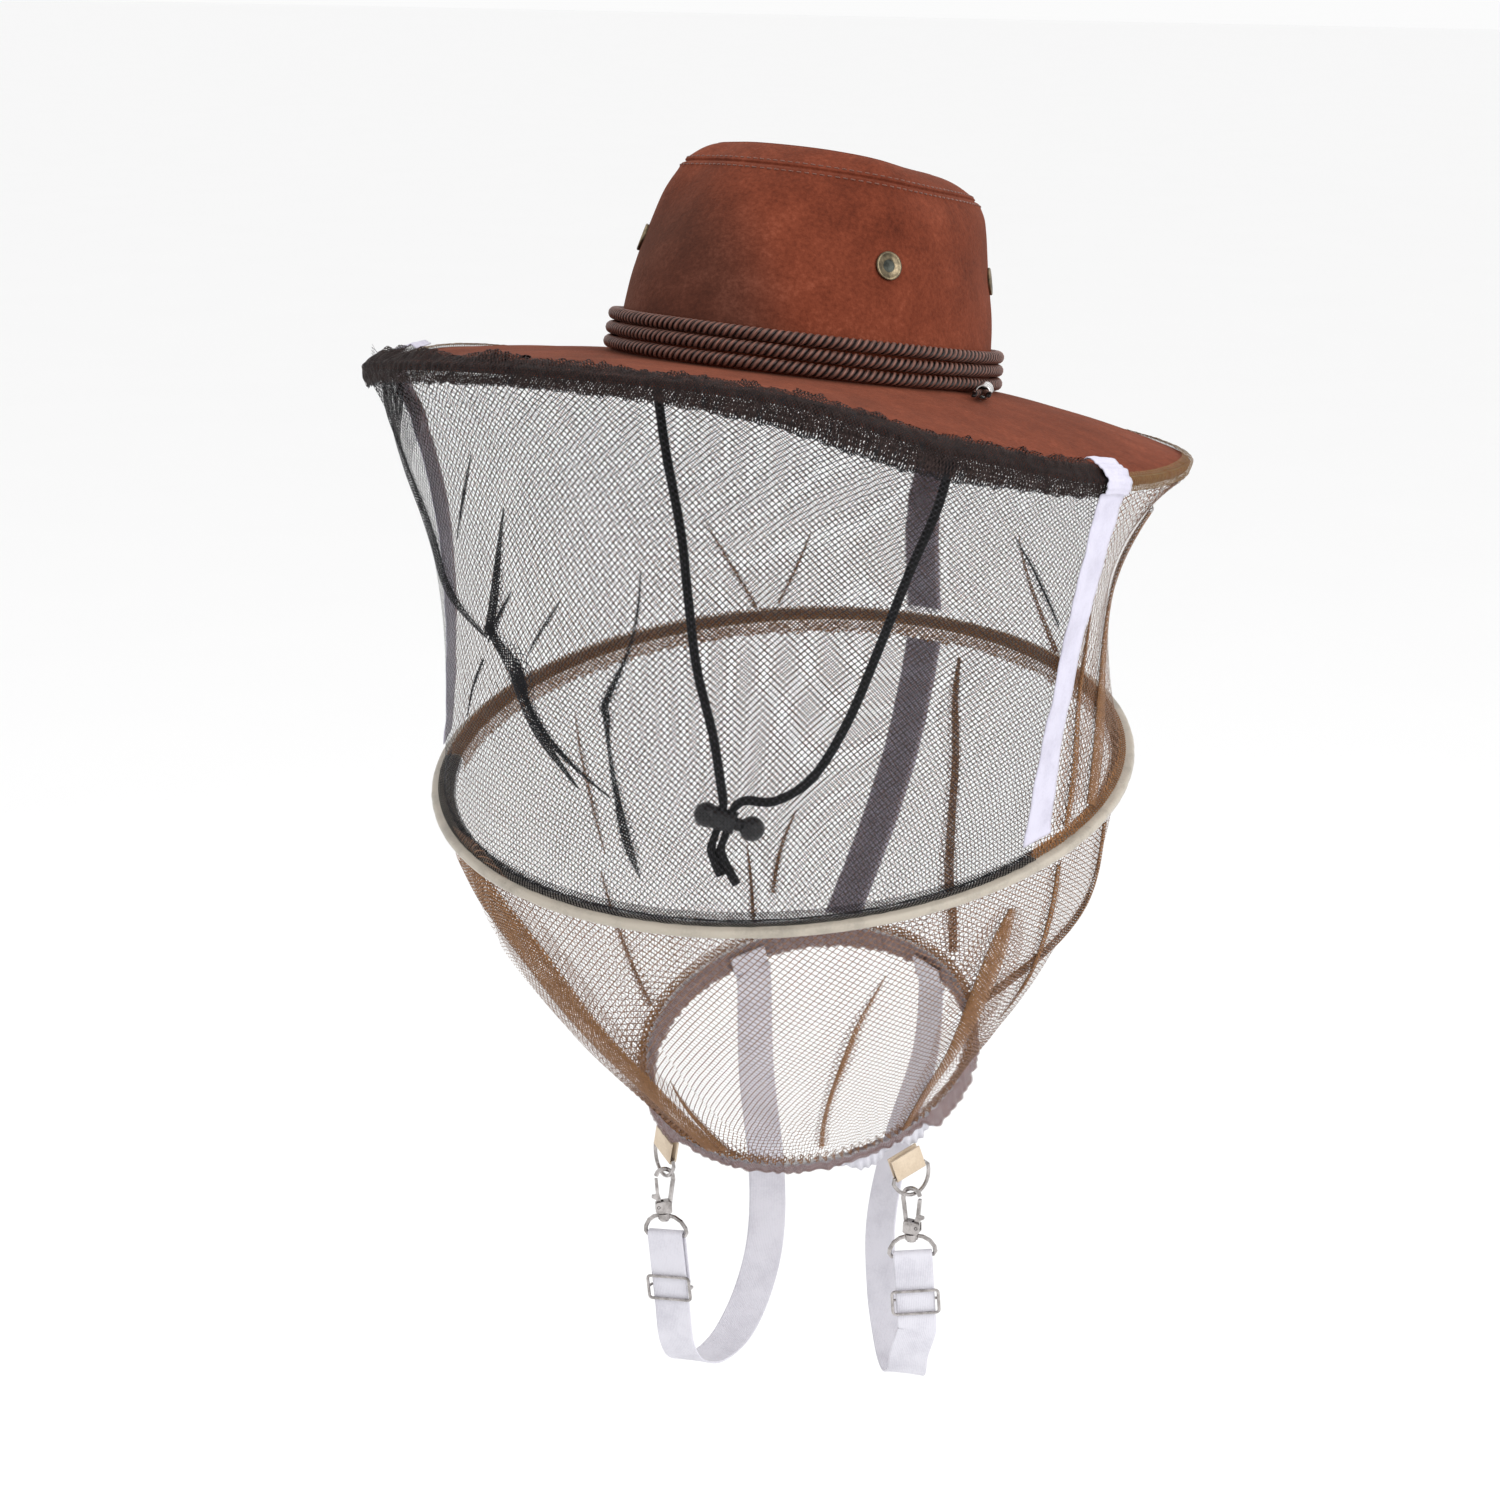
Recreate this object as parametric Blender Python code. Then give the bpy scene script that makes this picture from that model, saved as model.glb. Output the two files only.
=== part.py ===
"""Beekeeping veil: a brimmed suede hat with a net veil, spreader hoop, neck hem and arm straps.

Metres, +Z up, the wearer faces -Y and the wearer's left is +X. The origin is the centre of the
head opening, in the plane where the crown meets the brim. The hat leans back a little on the
head while the veil hangs plumb. Headings are angles from the front (-Y) towards +X.
"""
import math

import bmesh
import bpy
from mathutils import Matrix, Vector

# ---- driving dimensions -------------------------------------------------------------------
GAP = 0.0003                 # clearance between pieces that touch
HAT_LEAN_BACK = 8.5          # degrees, brim front raised
HAT_ROLL_LEFT = 2.6          # degrees, wearer's left side lowered

CROWN_HALF_WIDTH = 0.0875    # outside, at the brim
CROWN_HALF_LENGTH = 0.105
CROWN_SIDE_TAPER = 0.0195
CROWN_FRONT_TAPER = 0.049
CROWN_REAR_TAPER = 0.012
CROWN_HEIGHT = 0.1025        # mean height of the crown wall
CROWN_FRONT_RISE = 0.0035    # the wall is this much higher at the front, lower at the rear
CROWN_WALL = 0.002
CROWN_PINCH_DEPTH = 0.006
CROWN_PINCH_HEADING = 36
TIP_CREASE_DEPTH = 0.020
TIP_RIM = 0.93               # share of the tip that dips

BRIM_LEFT_REACH = 0.193
BRIM_RIGHT_REACH = 0.208        # this side is bent flatter
BRIM_FRONT_REACH = 0.218
BRIM_REAR_REACH = 0.196
BRIM_THICKNESS = 0.003
# how far the brim's edge droops below the crown's foot, at headings going round the hat
BRIM_DROOP = ((0, 0.006), (30, 0.005), (52, 0.019), (78, 0.028), (108, 0.022), (150, 0.016),
              (195, 0.016), (240, 0.013), (270, 0.012), (298, 0.021), (325, 0.015))
SWEATBAND_HEIGHT = 0.030
SWEATBAND_THICKNESS = 0.0012

EYELET_RADIUS = 0.0065
EYELET_BORE = 0.0026
EYELET_HOLE = 0.0042
EYELET_HEADINGS = {"left_front": 57, "left_rear": 121, "right_front": -57, "right_rear": -121}
EYELET_LEVEL = 0.53          # share of the crown's height

BAND_CORD_RADIUS = 0.003
BAND_CORD_PITCH = 0.0066
BAND_FERRULE_HEADING = 88

CASING_WALL = 0.0012         # folded net round the brim's edge
EDGE_CLEARANCE = 0.0006
CASING_TOP_REACH = 0.012
CASING_UNDER_REACH = 0.008
CASING_TUNNEL = 0.0032
TOP_ELASTIC_RADIUS = 0.0013

NET_THICKNESS = 0.0008
VEIL_ROWS = (0, 0.05, 0.12, 0.22, 0.4, 0.7, 1)      # shares of the way from brim to hoop
SKIRT_ROWS = (0, 0.3, 0.65, 1)
TAPE_WIDTH = 0.020
TAPE_THICKNESS = 0.0006
# headings of the right seam, left seam, rear seam and right seam again: at the hoop, at the brim
SEAMS_AT_HOOP = (-66, 74, 183, 294)
SEAMS_AT_BRIM = (-74, 79, 184, 286)
# how sharply the net tucks in under the brim, at headings going round (1 is a straight fall)
NET_TUCK = ((0, 3.0), (40, 2.4), (74, 1.3), (115, 9.0), (183, 4.0), (250, 4.0), (294, 3.2),
            (330, 3.2))

HOOP_CENTRE = Vector((-0.0024, -0.0166, -0.194))
HOOP_TILT_FORWARD = 12.3     # degrees, front lowered
HOOP_TILT_LEFT = 2.7         # degrees, wearer's left lowered
HOOP_RADIUS = 0.177          # outer edge of the fabric casing
HOOP_WIRE_RADIUS = 0.0009
HOOP_WIRE_INSET = 0.0032
HOOP_CASING_WIDTH = 0.011
HOOP_NET_INSET = 0.007

NECK_CENTRE = Vector((0.005, 0.0, -0.355))
NECK_TILT_FORWARD = 26.0
NECK_TILT_LEFT = 4.2
NECK_RADIUS = 0.0855
NECK_FRONT_HEADING = 15      # the veil hangs slightly turned on the hat
HEM_HEIGHT = 0.014
HEM_THICKNESS = 0.0044
HEM_WALL = 0.0008
TAB_SPREAD = 47              # degrees each side of the neck's front
STRAP_REAR_SPREAD = 38       # degrees each side of the neck's rear

STRAP_WIDTH = 0.020
STRAP_THICKNESS = 0.0012
TAB_WIDTH = 0.017
TAB_THICKNESS = 0.001
TAB_DROP = 0.011
D_RING_WIRE = 0.001          # wire radius
D_RING_HALF_WIDTH = 0.0108
D_RING_DEPTH = 0.014
CLIP_WIRE = 0.0012
CLIP_HEIGHT = 0.0240         # from the foot of the body to the middle of the jaw's wire
JAW_PLAY = 0.0010            # between the jaw and the D-ring that hangs in it
RING_WIRE = 0.0011
RING_HALF_WIDTH = 0.0117
RING_DROP = 0.0105           # from the swivel eye's middle to the strap bar
SLIDER_WIRE = 0.0008

CORD_RADIUS = 0.0022
TOGGLE_CENTRE = Vector((-0.0215, -0.036, -0.226))
TOGGLE_TILT = 16             # degrees, the wearer's left end lower
TOGGLE_HEADING = 24

SIDES = {"left": 1, "right": -1}

HAT = (Matrix.Rotation(math.radians(HAT_ROLL_LEFT), 4, "Y")
       @ Matrix.Rotation(math.radians(-HAT_LEAN_BACK), 4, "X"))
HOOP = (Matrix.Translation(HOOP_CENTRE)
        @ Matrix.Rotation(math.radians(HOOP_TILT_LEFT), 4, "Y")
        @ Matrix.Rotation(math.radians(HOOP_TILT_FORWARD), 4, "X"))
NECK = (Matrix.Translation(NECK_CENTRE)
        @ Matrix.Rotation(math.radians(NECK_TILT_LEFT), 4, "Y")
        @ Matrix.Rotation(math.radians(NECK_TILT_FORWARD), 4, "X"))
PLUMB = Vector((0, 0, 1))

# colour, roughness, metallic
LOOKS = {
    "suede": ((0.26, 0.062, 0.032), 0.9, 0.0),
    "lining": ((0.10, 0.045, 0.03), 0.8, 0.0),
    "antique_brass": ((0.20, 0.15, 0.08), 0.4, 0.9),
    "band_cord": ((0.045, 0.018, 0.012), 0.5, 0.0),
    "nickel": ((0.62, 0.60, 0.58), 0.25, 1.0),
    "black_net": ((0.012, 0.012, 0.014), 0.8, 0.0),
    "brown_net": ((0.22, 0.11, 0.055), 0.8, 0.0),
    "white_tape": ((0.80, 0.78, 0.84), 0.35, 0.0),
    "cream_tape": ((0.62, 0.56, 0.47), 0.4, 0.0),
    "white_elastic": ((0.78, 0.77, 0.80), 0.7, 0.0),
    "spring_steel": ((0.5, 0.5, 0.5), 0.3, 1.0),
    "black_cord": ((0.01, 0.01, 0.01), 0.7, 0.0),
    "black_plastic": ((0.012, 0.012, 0.013), 0.45, 0.0),
}


# ---- small geometry helpers ---------------------------------------------------------------
def heading(angle):
    a = math.radians(angle)
    return Vector((math.sin(a), -math.cos(a), 0))


def smoothstep(low, high, value):
    t = min(1.0, max(0.0, (value - low) / (high - low)))
    return t * t * (3 - 2 * t)


def between(table, angle):
    """Smooth closed interpolation of (heading, value) pairs round the hat."""
    angle %= 360
    count = len(table)
    for i in range(count):
        a0, v0 = table[i]
        a1, v1 = table[(i + 1) % count]
        if i == count - 1:
            a1 += 360
        if a0 <= angle <= a1:
            before = table[i - 1][1]
            after = table[(i + 2) % count][1]
            t = (angle - a0) / (a1 - a0)
            return 0.5 * (2 * v0 + (v1 - before) * t + (2 * before - 5 * v0 + 4 * v1 - after) * t * t
                          + (3 * v0 - before - 3 * v1 + after) * t ** 3)
    return table[0][1]


def smooth_route(points, per_span):
    """A smooth curve through hand-placed points, as a list of points."""
    out = []
    last = len(points) - 1
    for i in range(last):
        p0 = points[max(i - 1, 0)]
        p1 = points[i]
        p2 = points[i + 1]
        p3 = points[min(i + 2, last)]
        for k in range(per_span):
            t = k / per_span
            out.append(0.5 * (2 * p1 + (p2 - p0) * t + (2 * p0 - 5 * p1 + 4 * p2 - p3) * t * t
                              + (3 * p1 - p0 - 3 * p2 + p3) * t ** 3))
    out.append(points[-1].copy())
    return out


def circle(radius, sides, centre=(0, 0)):
    return [(centre[0] + radius * math.cos(math.tau * k / sides),
             centre[1] + radius * math.sin(math.tau * k / sides)) for k in range(sides)]


# ---- mesh builders ------------------------------------------------------------------------
MATERIALS = {}


def material(name):
    if name not in MATERIALS:
        colour, roughness, metallic = LOOKS[name]
        mat = bpy.data.materials.new(name)
        mat.use_nodes = True
        shader = mat.node_tree.nodes["Principled BSDF"]
        shader.inputs["Base Color"].default_value = (*colour, 1)
        shader.inputs["Roughness"].default_value = roughness
        shader.inputs["Metallic"].default_value = metallic
        MATERIALS[name] = mat
    return MATERIALS[name]


def add_object(name, bm, look, origin=None, smooth=True):
    """Make an object of a bmesh in world coordinates, with its own origin where given."""
    bmesh.ops.recalc_face_normals(bm, faces=bm.faces)
    mesh = bpy.data.meshes.new(name)
    origin = Vector(origin) if origin is not None else Vector((0, 0, 0))
    bmesh.ops.translate(bm, verts=bm.verts, vec=-origin)
    bm.to_mesh(mesh)
    bm.free()
    if smooth:
        mesh.shade_smooth()
        mesh.set_sharp_from_angle(angle=math.radians(40))
    mesh.materials.append(material(look))
    obj = bpy.data.objects.new(name, mesh)
    obj.location = origin
    bpy.context.scene.collection.objects.link(obj)
    return obj


def loft(rings, closed, strip=False):
    """Skin closed rings of equal length; open lofts get end caps.

    strip is for thin sheets: both walls split along matching diagonals, so they never cross.
    """
    bm = bmesh.new()
    rows = [[bm.verts.new(p) for p in ring] for ring in rings]
    count = len(rows[0])
    spans = len(rows) if closed else len(rows) - 1
    for i in range(spans):
        a = rows[i]
        b = rows[(i + 1) % len(rows)]
        for k in range(count):
            m = (k + 1) % count
            if not strip:
                bm.faces.new((a[k], a[m], b[m], b[k]))
            elif k < count // 2:
                bm.faces.new((a[k], a[m], b[m]))
                bm.faces.new((a[k], b[m], b[k]))
            else:
                bm.faces.new((a[k], a[m], b[k]))
                bm.faces.new((a[m], b[m], b[k]))
    if not closed:
        for row in (rows[0], rows[-1]):
            if strip:
                for k in range(count // 2 - 1):
                    bm.faces.new((row[k], row[k + 1], row[count - 2 - k], row[count - 1 - k]))
            else:
                bm.faces.new(row)
    return bm


def sweep(path, section, closed=False, side=None):
    """Sweep a section, given as (sideways, up) pairs, along a path without twist."""
    count = len(path)
    rings = []
    for i in range(count):
        if closed:
            tangent = path[(i + 1) % count] - path[i - 1]
        else:
            tangent = path[min(i + 1, count - 1)] - path[max(i - 1, 0)]
        tangent.normalize()
        if callable(side):
            guide = side(i)
        elif side is not None:
            guide = side
        elif i == 0:
            guide = tangent.orthogonal()
        else:
            guide = previous
        across = (guide - tangent * guide.dot(tangent)).normalized()
        previous = across
        upward = tangent.cross(across)
        rings.append([path[i] + across * s + upward * u for s, u in section])
    return loft(rings, closed)


def wire(name, path, radius, look, sides=8, closed=False, side=None, origin=None):
    bm = sweep(path, circle(radius, sides), closed, side)
    return add_object(name, bm, look, origin)


def around(start, end, steps):
    return [start + (end - start) * k / steps for k in range(steps + 1)]


def sheet(name, surface, columns, rows, thickness, look, closed):
    """A thin closed solid on surface(u, v); u runs over the columns, v over the rows."""
    rings = []
    for u in columns:
        points = [surface(u, v) for v in rows]
        normals = []
        for v in rows:
            du = surface(u + 0.5, v) - surface(u - 0.5, v)
            dv = surface(u, min(v + 0.02, 1)) - surface(u, max(v - 0.02, 0))
            normals.append(dv.cross(du).normalized())
        outer = [p + n * thickness / 2 for p, n in zip(points, normals)]
        inner = [p - n * thickness / 2 for p, n in zip(points, normals)]
        rings.append(outer + inner[::-1])
    return add_object(name, loft(rings, closed, strip=True), look)


def turned(profile, steps, matrix):
    """A ring turned round local Z from a closed (radius, height) profile, as a bmesh."""
    rings = []
    for k in range(steps):
        a = math.tau * k / steps
        rings.append([matrix @ Vector((r * math.cos(a), r * math.sin(a), z)) for r, z in profile])
    return loft(rings, True)


def rod(radius, start, end, sides=16):
    return sweep([Vector(start), Vector(end)], circle(radius, sides))


def plate(outline, half_thickness, matrix):
    """A flat plate whose outline lies in local XZ and whose thickness is along local Y."""
    front = [matrix @ Vector((x, -half_thickness, z)) for x, z in outline]
    back = [matrix @ Vector((x, half_thickness, z)) for x, z in outline]
    return loft([front, back], False)


def combine(obj, other, operation):
    """Join or cut with another object's mesh, then drop that object."""
    modifier = obj.modifiers.new("join", "BOOLEAN")
    modifier.operation = operation
    modifier.solver = "EXACT"
    modifier.object = other
    depsgraph = bpy.context.evaluated_depsgraph_get()
    mesh = bpy.data.meshes.new_from_object(obj.evaluated_get(depsgraph))
    obj.modifiers.clear()
    obj.data = mesh
    bpy.data.objects.remove(other)


# ---- the hat's surfaces, in the hat's own upright frame -------------------------------------
def crown_height(angle):
    return CROWN_HEIGHT + CROWN_FRONT_RISE * math.cos(math.radians(angle))


def crown_point(angle, level, inset=0.0):
    a = math.radians(angle)
    front = max(0.0, math.cos(a))
    rear = max(0.0, -math.cos(a))
    half_width = CROWN_HALF_WIDTH - CROWN_SIDE_TAPER * level ** 1.7
    taper = (CROWN_FRONT_TAPER * front + CROWN_REAR_TAPER * rear) * level ** 1.8
    half_length = CROWN_HALF_LENGTH - taper
    bend = math.remainder(abs(math.remainder(angle, 360)) - CROWN_PINCH_HEADING, 360) / 17
    pinch = CROWN_PINCH_DEPTH * math.exp(-bend * bend) * smoothstep(0.3, 1.0, level)
    shoulder = 0.006 * max(0.0, (level - 0.8) / 0.2) ** 2
    point = Vector((half_width * math.sin(a), -half_length * math.cos(a), 0))
    point -= point.normalized() * (inset + pinch + shoulder)
    point.z = level * crown_height(angle)
    return point


def tip_point(angle, share):
    rim = crown_point(angle, 1)
    rim.z += CROWN_WALL + 0.0008
    dish = TIP_CREASE_DEPTH * (1 - min(1.0, share / TIP_RIM) ** 2) ** 1.3
    return Vector((rim.x * share, rim.y * share, rim.z * share + CROWN_HEIGHT * (1 - share) - dish))


def brim_point(angle, share):
    inner = crown_point(angle, 0, CROWN_WALL)
    a = math.radians(angle)
    reach = BRIM_FRONT_REACH if math.cos(a) > 0 else BRIM_REAR_REACH
    width = BRIM_LEFT_REACH if math.sin(a) > 0 else BRIM_RIGHT_REACH
    outer = Vector((width * math.sin(a), -reach * math.cos(a), 0))
    point = inner.lerp(outer, share)
    point.z = -GAP - between(BRIM_DROOP, angle) * share ** 1.5
    return point


def brim_normal(angle, share):
    share = max(share, 0.03)
    outward = (brim_point(angle, share) - brim_point(angle, share - 0.03)).normalized()
    along = brim_point(angle + 1, share) - brim_point(angle - 1, share)
    return along.cross(-outward).normalized()


def edge_frame(angle):
    """The brim's edge with its outward and upward directions, in the world."""
    along = (brim_point(angle + 1, 1) - brim_point(angle - 1, 1)).normalized()
    upward = brim_normal(angle, 1)
    outward = along.cross(upward)
    turn = HAT.to_3x3()
    return HAT @ brim_point(angle, 1), turn @ outward, turn @ upward


# ---- the veil's surfaces, in the world ------------------------------------------------------
def hoop_point(angle, out=0.0, up=0.0):
    return HOOP @ (heading(angle) * (HOOP_RADIUS + out) + Vector((0, 0, up)))


def neck_point(angle, out=0.0, up=0.0):
    return NECK @ (heading(angle) * (NECK_RADIUS + out) + Vector((0, 0, up)))


def brim_heading(angle):
    """The heading at the brim of the net that meets the hoop at this heading."""
    low = 0
    while low < 2 and angle > SEAMS_AT_HOOP[low + 1]:
        low += 1
    share = (angle - SEAMS_AT_HOOP[low]) / (SEAMS_AT_HOOP[low + 1] - SEAMS_AT_HOOP[low])
    return SEAMS_AT_BRIM[low] + (SEAMS_AT_BRIM[low + 1] - SEAMS_AT_BRIM[low]) * share


def veil_point(angle, share):
    """The upper veil: it tucks in under the brim, then falls to the hoop."""
    swing = angle + (brim_heading(angle) - angle) * (1 - share)
    edge, outward, upward = edge_frame(swing)
    drop = BRIM_THICKNESS + CASING_WALL + EDGE_CLEARANCE + GAP + NET_THICKNESS
    top = edge + outward * 0.0005 - upward * drop
    foot = hoop_point(swing, -HOOP_NET_INSET, 0.0036)
    sharpness = between(NET_TUCK, angle)
    tuck = 1 - (1 - share) ** sharpness
    waist = 0.001 * sharpness * math.sin(math.pi * share)
    point = top.lerp(foot, tuck) - heading(swing) * waist
    point.z = top.z + (foot.z - top.z) * share
    return point


def skirt_point(angle, share):
    top = hoop_point(angle, -HOOP_NET_INSET, -0.0036)
    foot = neck_point(angle + NECK_FRONT_HEADING, 0, HEM_HEIGHT / 2 + GAP + NET_THICKNESS)
    bow = 0.017 * math.sin(math.pi * share)
    return top.lerp(foot, share) + heading(angle) * bow


def surface_normal(surface, angle, share):
    along = surface(angle + 0.5, share) - surface(angle - 0.5, share)
    down = surface(angle, min(share + 0.02, 1)) - surface(angle, max(share - 0.02, 0))
    return down.cross(along).normalized()


# ---- hat ------------------------------------------------------------------------------------
def build_crown():
    angles = around(0, 360, 48)[:-1]
    levels = (0, 0.25, 0.5, 0.7, 0.85, 0.94, 1)
    rings = []
    for angle in angles:
        outer = [HAT @ crown_point(angle, level) for level in levels]
        inner = [HAT @ crown_point(angle, level, CROWN_WALL) for level in levels]
        rings.append(outer + inner[::-1])
    crown = add_object("crown_side", loft(rings, True), "suede")
    for angle in EYELET_HEADINGS.values():
        cutter = add_object("cutter", rod(EYELET_HOLE, *eyelet_axis(angle, 0.012)), "suede")
        combine(crown, cutter, "DIFFERENCE")

    angles = around(0, 360, 36)[:-1]
    shares = (0.15, 0.35, 0.55, 0.74, TIP_RIM, 1)
    top = [[HAT @ tip_point(angle, share) for angle in angles] for share in shares]
    thickness = HAT.to_3x3() @ Vector((0, 0, CROWN_WALL))
    under = [[point - thickness for point in ring] for ring in top]
    add_object("crown_tip", loft(top + under[::-1], False), "suede")


def eyelet_axis(angle, reach):
    """Two points through the crown's wall, inside first."""
    spot = HAT @ crown_point(angle, EYELET_LEVEL)
    along = HAT @ crown_point(angle + 2, EYELET_LEVEL) - HAT @ crown_point(angle - 2, EYELET_LEVEL)
    rise = HAT @ crown_point(angle, EYELET_LEVEL + 0.05) - HAT @ crown_point(angle, EYELET_LEVEL - 0.05)
    outward = along.cross(rise).normalized()
    return spot - outward * reach, spot + outward * reach


def build_eyelets():
    clear = 0.0008           # the flat flange stands off the curved wall
    for name, angle in EYELET_HEADINGS.items():
        inside, outside = eyelet_axis(angle, 1)
        outward = (outside - inside).normalized()
        matrix = outward.to_track_quat("Z", "Y").to_matrix().to_4x4()
        matrix.translation = (inside + outside) / 2
        barrel = EYELET_HOLE - GAP
        profile = [(EYELET_BORE, -0.0045), (barrel, -0.0045), (barrel, clear),
                   (EYELET_RADIUS, clear), (EYELET_RADIUS, clear + 0.0006),
                   (EYELET_RADIUS - 0.0012, clear + 0.0013), (EYELET_BORE, clear + 0.0005)]
        add_object("vent_eyelet_" + name, turned(profile, 20, matrix), "antique_brass")


def build_brim():
    angles = around(0, 360, 48)[:-1]
    shares = (0, 0.25, 0.5, 0.75, 1)
    rings = []
    for angle in angles:
        top = [HAT @ brim_point(angle, share) for share in shares]
        depth = [HAT.to_3x3() @ brim_normal(angle, share) * BRIM_THICKNESS for share in shares]
        under = [point - down for point, down in zip(top, depth)]
        rings.append(top + under[::-1])
    add_object("brim", loft(rings, True), "suede")


def build_sweatband():
    angles = around(0, 360, 48)[:-1]
    inset = CROWN_WALL + 0.0008
    top_level = SWEATBAND_HEIGHT / CROWN_HEIGHT
    rings = []
    for angle in angles:
        corners = [crown_point(angle, level, inset + depth)
                   for level, depth in ((0, 0), (top_level, 0), (top_level, SWEATBAND_THICKNESS),
                                        (0, SWEATBAND_THICKNESS))]
        rings.append([HAT @ corner for corner in corners])
    add_object("sweatband", loft(rings, True), "lining")


def band_path(height, steps=48):
    level = height / CROWN_HEIGHT
    stand = -(BAND_CORD_RADIUS + GAP + 0.0002)
    return [HAT @ crown_point(angle, level, stand) for angle in around(0, 360, steps)[:-1]]


def build_hat_band():
    names = ("hat_band_cord_lower", "hat_band_cord_middle", "hat_band_cord_upper")
    for k, name in enumerate(names):
        height = BAND_CORD_RADIUS + 0.0012 + k * BAND_CORD_PITCH
        wire(name, band_path(height), BAND_CORD_RADIUS, "band_cord", 6, True, HAT.to_3x3() @ PLUMB)

    # the ferrule lies on the brim beside the lowest cord, with two short cord ends
    def on_brim(angle, share, lift):
        return HAT @ (brim_point(angle, share) + Vector((0, 0, lift)))

    start = on_brim(BAND_FERRULE_HEADING + 2, 0.135, 0.0046)
    finish = on_brim(BAND_FERRULE_HEADING - 5, 0.20, 0.0046)
    along = (finish - start).normalized()
    matrix = along.to_track_quat("Z", "Y").to_matrix().to_4x4()
    matrix.translation = start
    length = (finish - start).length
    profile = [(0.0032, 0), (0.0038, 0), (0.0038, length), (0.0032, length)]
    add_object("hat_band_ferrule", turned(profile, 16, matrix), "nickel")
    across = along.cross(PLUMB).normalized()
    for name, side in (("hat_band_end_inner", -1), ("hat_band_end_outer", 1)):
        offset = across * (side * 0.00155)
        path = [start + offset, finish + offset, finish + along * 0.009 + offset * 2.0]
        wire(name, path, 0.0014, "band_cord", 6, False, PLUMB)


def build_chin_cords():
    for name, route in CHIN_ROUTES.items():
        points = smooth_route([Vector(p) for p in route], 3)
        curve = bpy.data.curves.new(name, "CURVE")
        curve.dimensions = "3D"
        curve.bevel_depth = CORD_RADIUS
        curve.bevel_resolution = 2
        curve.use_fill_caps = True
        spline = curve.splines.new("POLY")
        spline.points.add(len(points) - 1)
        for slot, point in zip(spline.points, points):
            slot.co = (*point, 1)
        curve.materials.append(material("black_cord"))
        obj = bpy.data.objects.new(name, curve)
        bpy.context.scene.collection.objects.link(obj)


# ---- toggle: a double-ball spring cord lock --------------------------------------------------
TOGGLE = (Matrix.Translation(TOGGLE_CENTRE)
          @ Matrix.Rotation(math.radians(TOGGLE_HEADING), 4, "Z")
          @ Matrix.Rotation(math.radians(TOGGLE_TILT), 4, "Y"))
TOGGLE_BALL = 0.0065
TOGGLE_BALL_OFFSET = 0.012
BARREL_RADIUS = 0.0058
BARREL_END = 0.0032
BORE_RADIUS = 0.0038
BORE_BOTTOM = -0.0123
PLUNGER_RADIUS = 0.0034
PLUNGER_END = -0.0087
CORD_SPACING = 0.0050
CORD_SLOT = (-0.0075, 0.0025)
BUTTON_TRAVEL = 0.0015


def toggle_at(x, y=0.0, z=0.0):
    return TOGGLE @ Vector((x, y, z))


def along_toggle(profile, steps):
    """A solid turned round the toggle's long axis from (radius, x) pairs, ends on the axis."""
    matrix = TOGGLE @ Matrix.Rotation(math.radians(90), 4, "Y")
    rings = []
    for r, x in profile:
        rings.append([matrix @ Vector((r * math.cos(math.tau * k / steps),
                                       r * math.sin(math.tau * k / steps), x)) for k in range(steps)])
    return loft(rings, False)


def ball_profile(centre, start, end, steps=7):
    out = []
    for k in range(steps + 1):
        a = math.radians(start + (end - start) * k / steps)
        out.append((TOGGLE_BALL * math.sin(a), centre - TOGGLE_BALL * math.cos(a)))
    return out


def cord_slot(low, high, reach):
    """A prism with round ends for the two cords to pass, along the toggle's local Z."""
    half = CORD_RADIUS + 0.00025
    outline = []
    for k in range(9):
        a = math.radians(90 + 180 * k / 8)
        outline.append((low + half + half * math.cos(a), half * math.sin(a)))
    for k in range(9):
        a = math.radians(-90 + 180 * k / 8)
        outline.append((high - half + half * math.cos(a), half * math.sin(a)))
    rings = [[toggle_at(x, y, z) for x, y in outline] for z in (-reach, reach)]
    return add_object("cutter", loft(rings, False), "black_plastic")


def build_toggle():
    neck = math.degrees(math.asin(BARREL_RADIUS / TOGGLE_BALL))
    outer = ball_profile(-TOGGLE_BALL_OFFSET, 12, 180 - neck)
    outer += [(BARREL_RADIUS, BARREL_END)]
    inner = [(BORE_RADIUS, BARREL_END), (BORE_RADIUS, BORE_BOTTOM)]
    body = add_object("toggle_body", along_toggle(outer + inner, 20), "black_plastic")
    combine(body, cord_slot(*CORD_SLOT, 0.01), "DIFFERENCE")

    root = math.degrees(math.asin(PLUNGER_RADIUS / TOGGLE_BALL))
    shank = [(PLUNGER_RADIUS, PLUNGER_END)]
    button = add_object("toggle_button", along_toggle(shank + ball_profile(TOGGLE_BALL_OFFSET, root, 168), 20),
                        "black_plastic", toggle_at(TOGGLE_BALL_OFFSET))
    combine(button, cord_slot(CORD_SLOT[0], CORD_SLOT[1] + BUTTON_TRAVEL, 0.01), "DIFFERENCE")

    turns = 2.5
    steps = 26
    path = []
    for k in range(steps + 1):
        a = math.tau * turns * k / steps
        x = BORE_BOTTOM + 0.0006 + (PLUNGER_END - BORE_BOTTOM - 0.0012) * k / steps
        path.append(toggle_at(x, 0.0027 * math.cos(a), 0.0027 * math.sin(a)))
    wire("toggle_spring", path, 0.00025, "spring_steel", 6)


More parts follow.
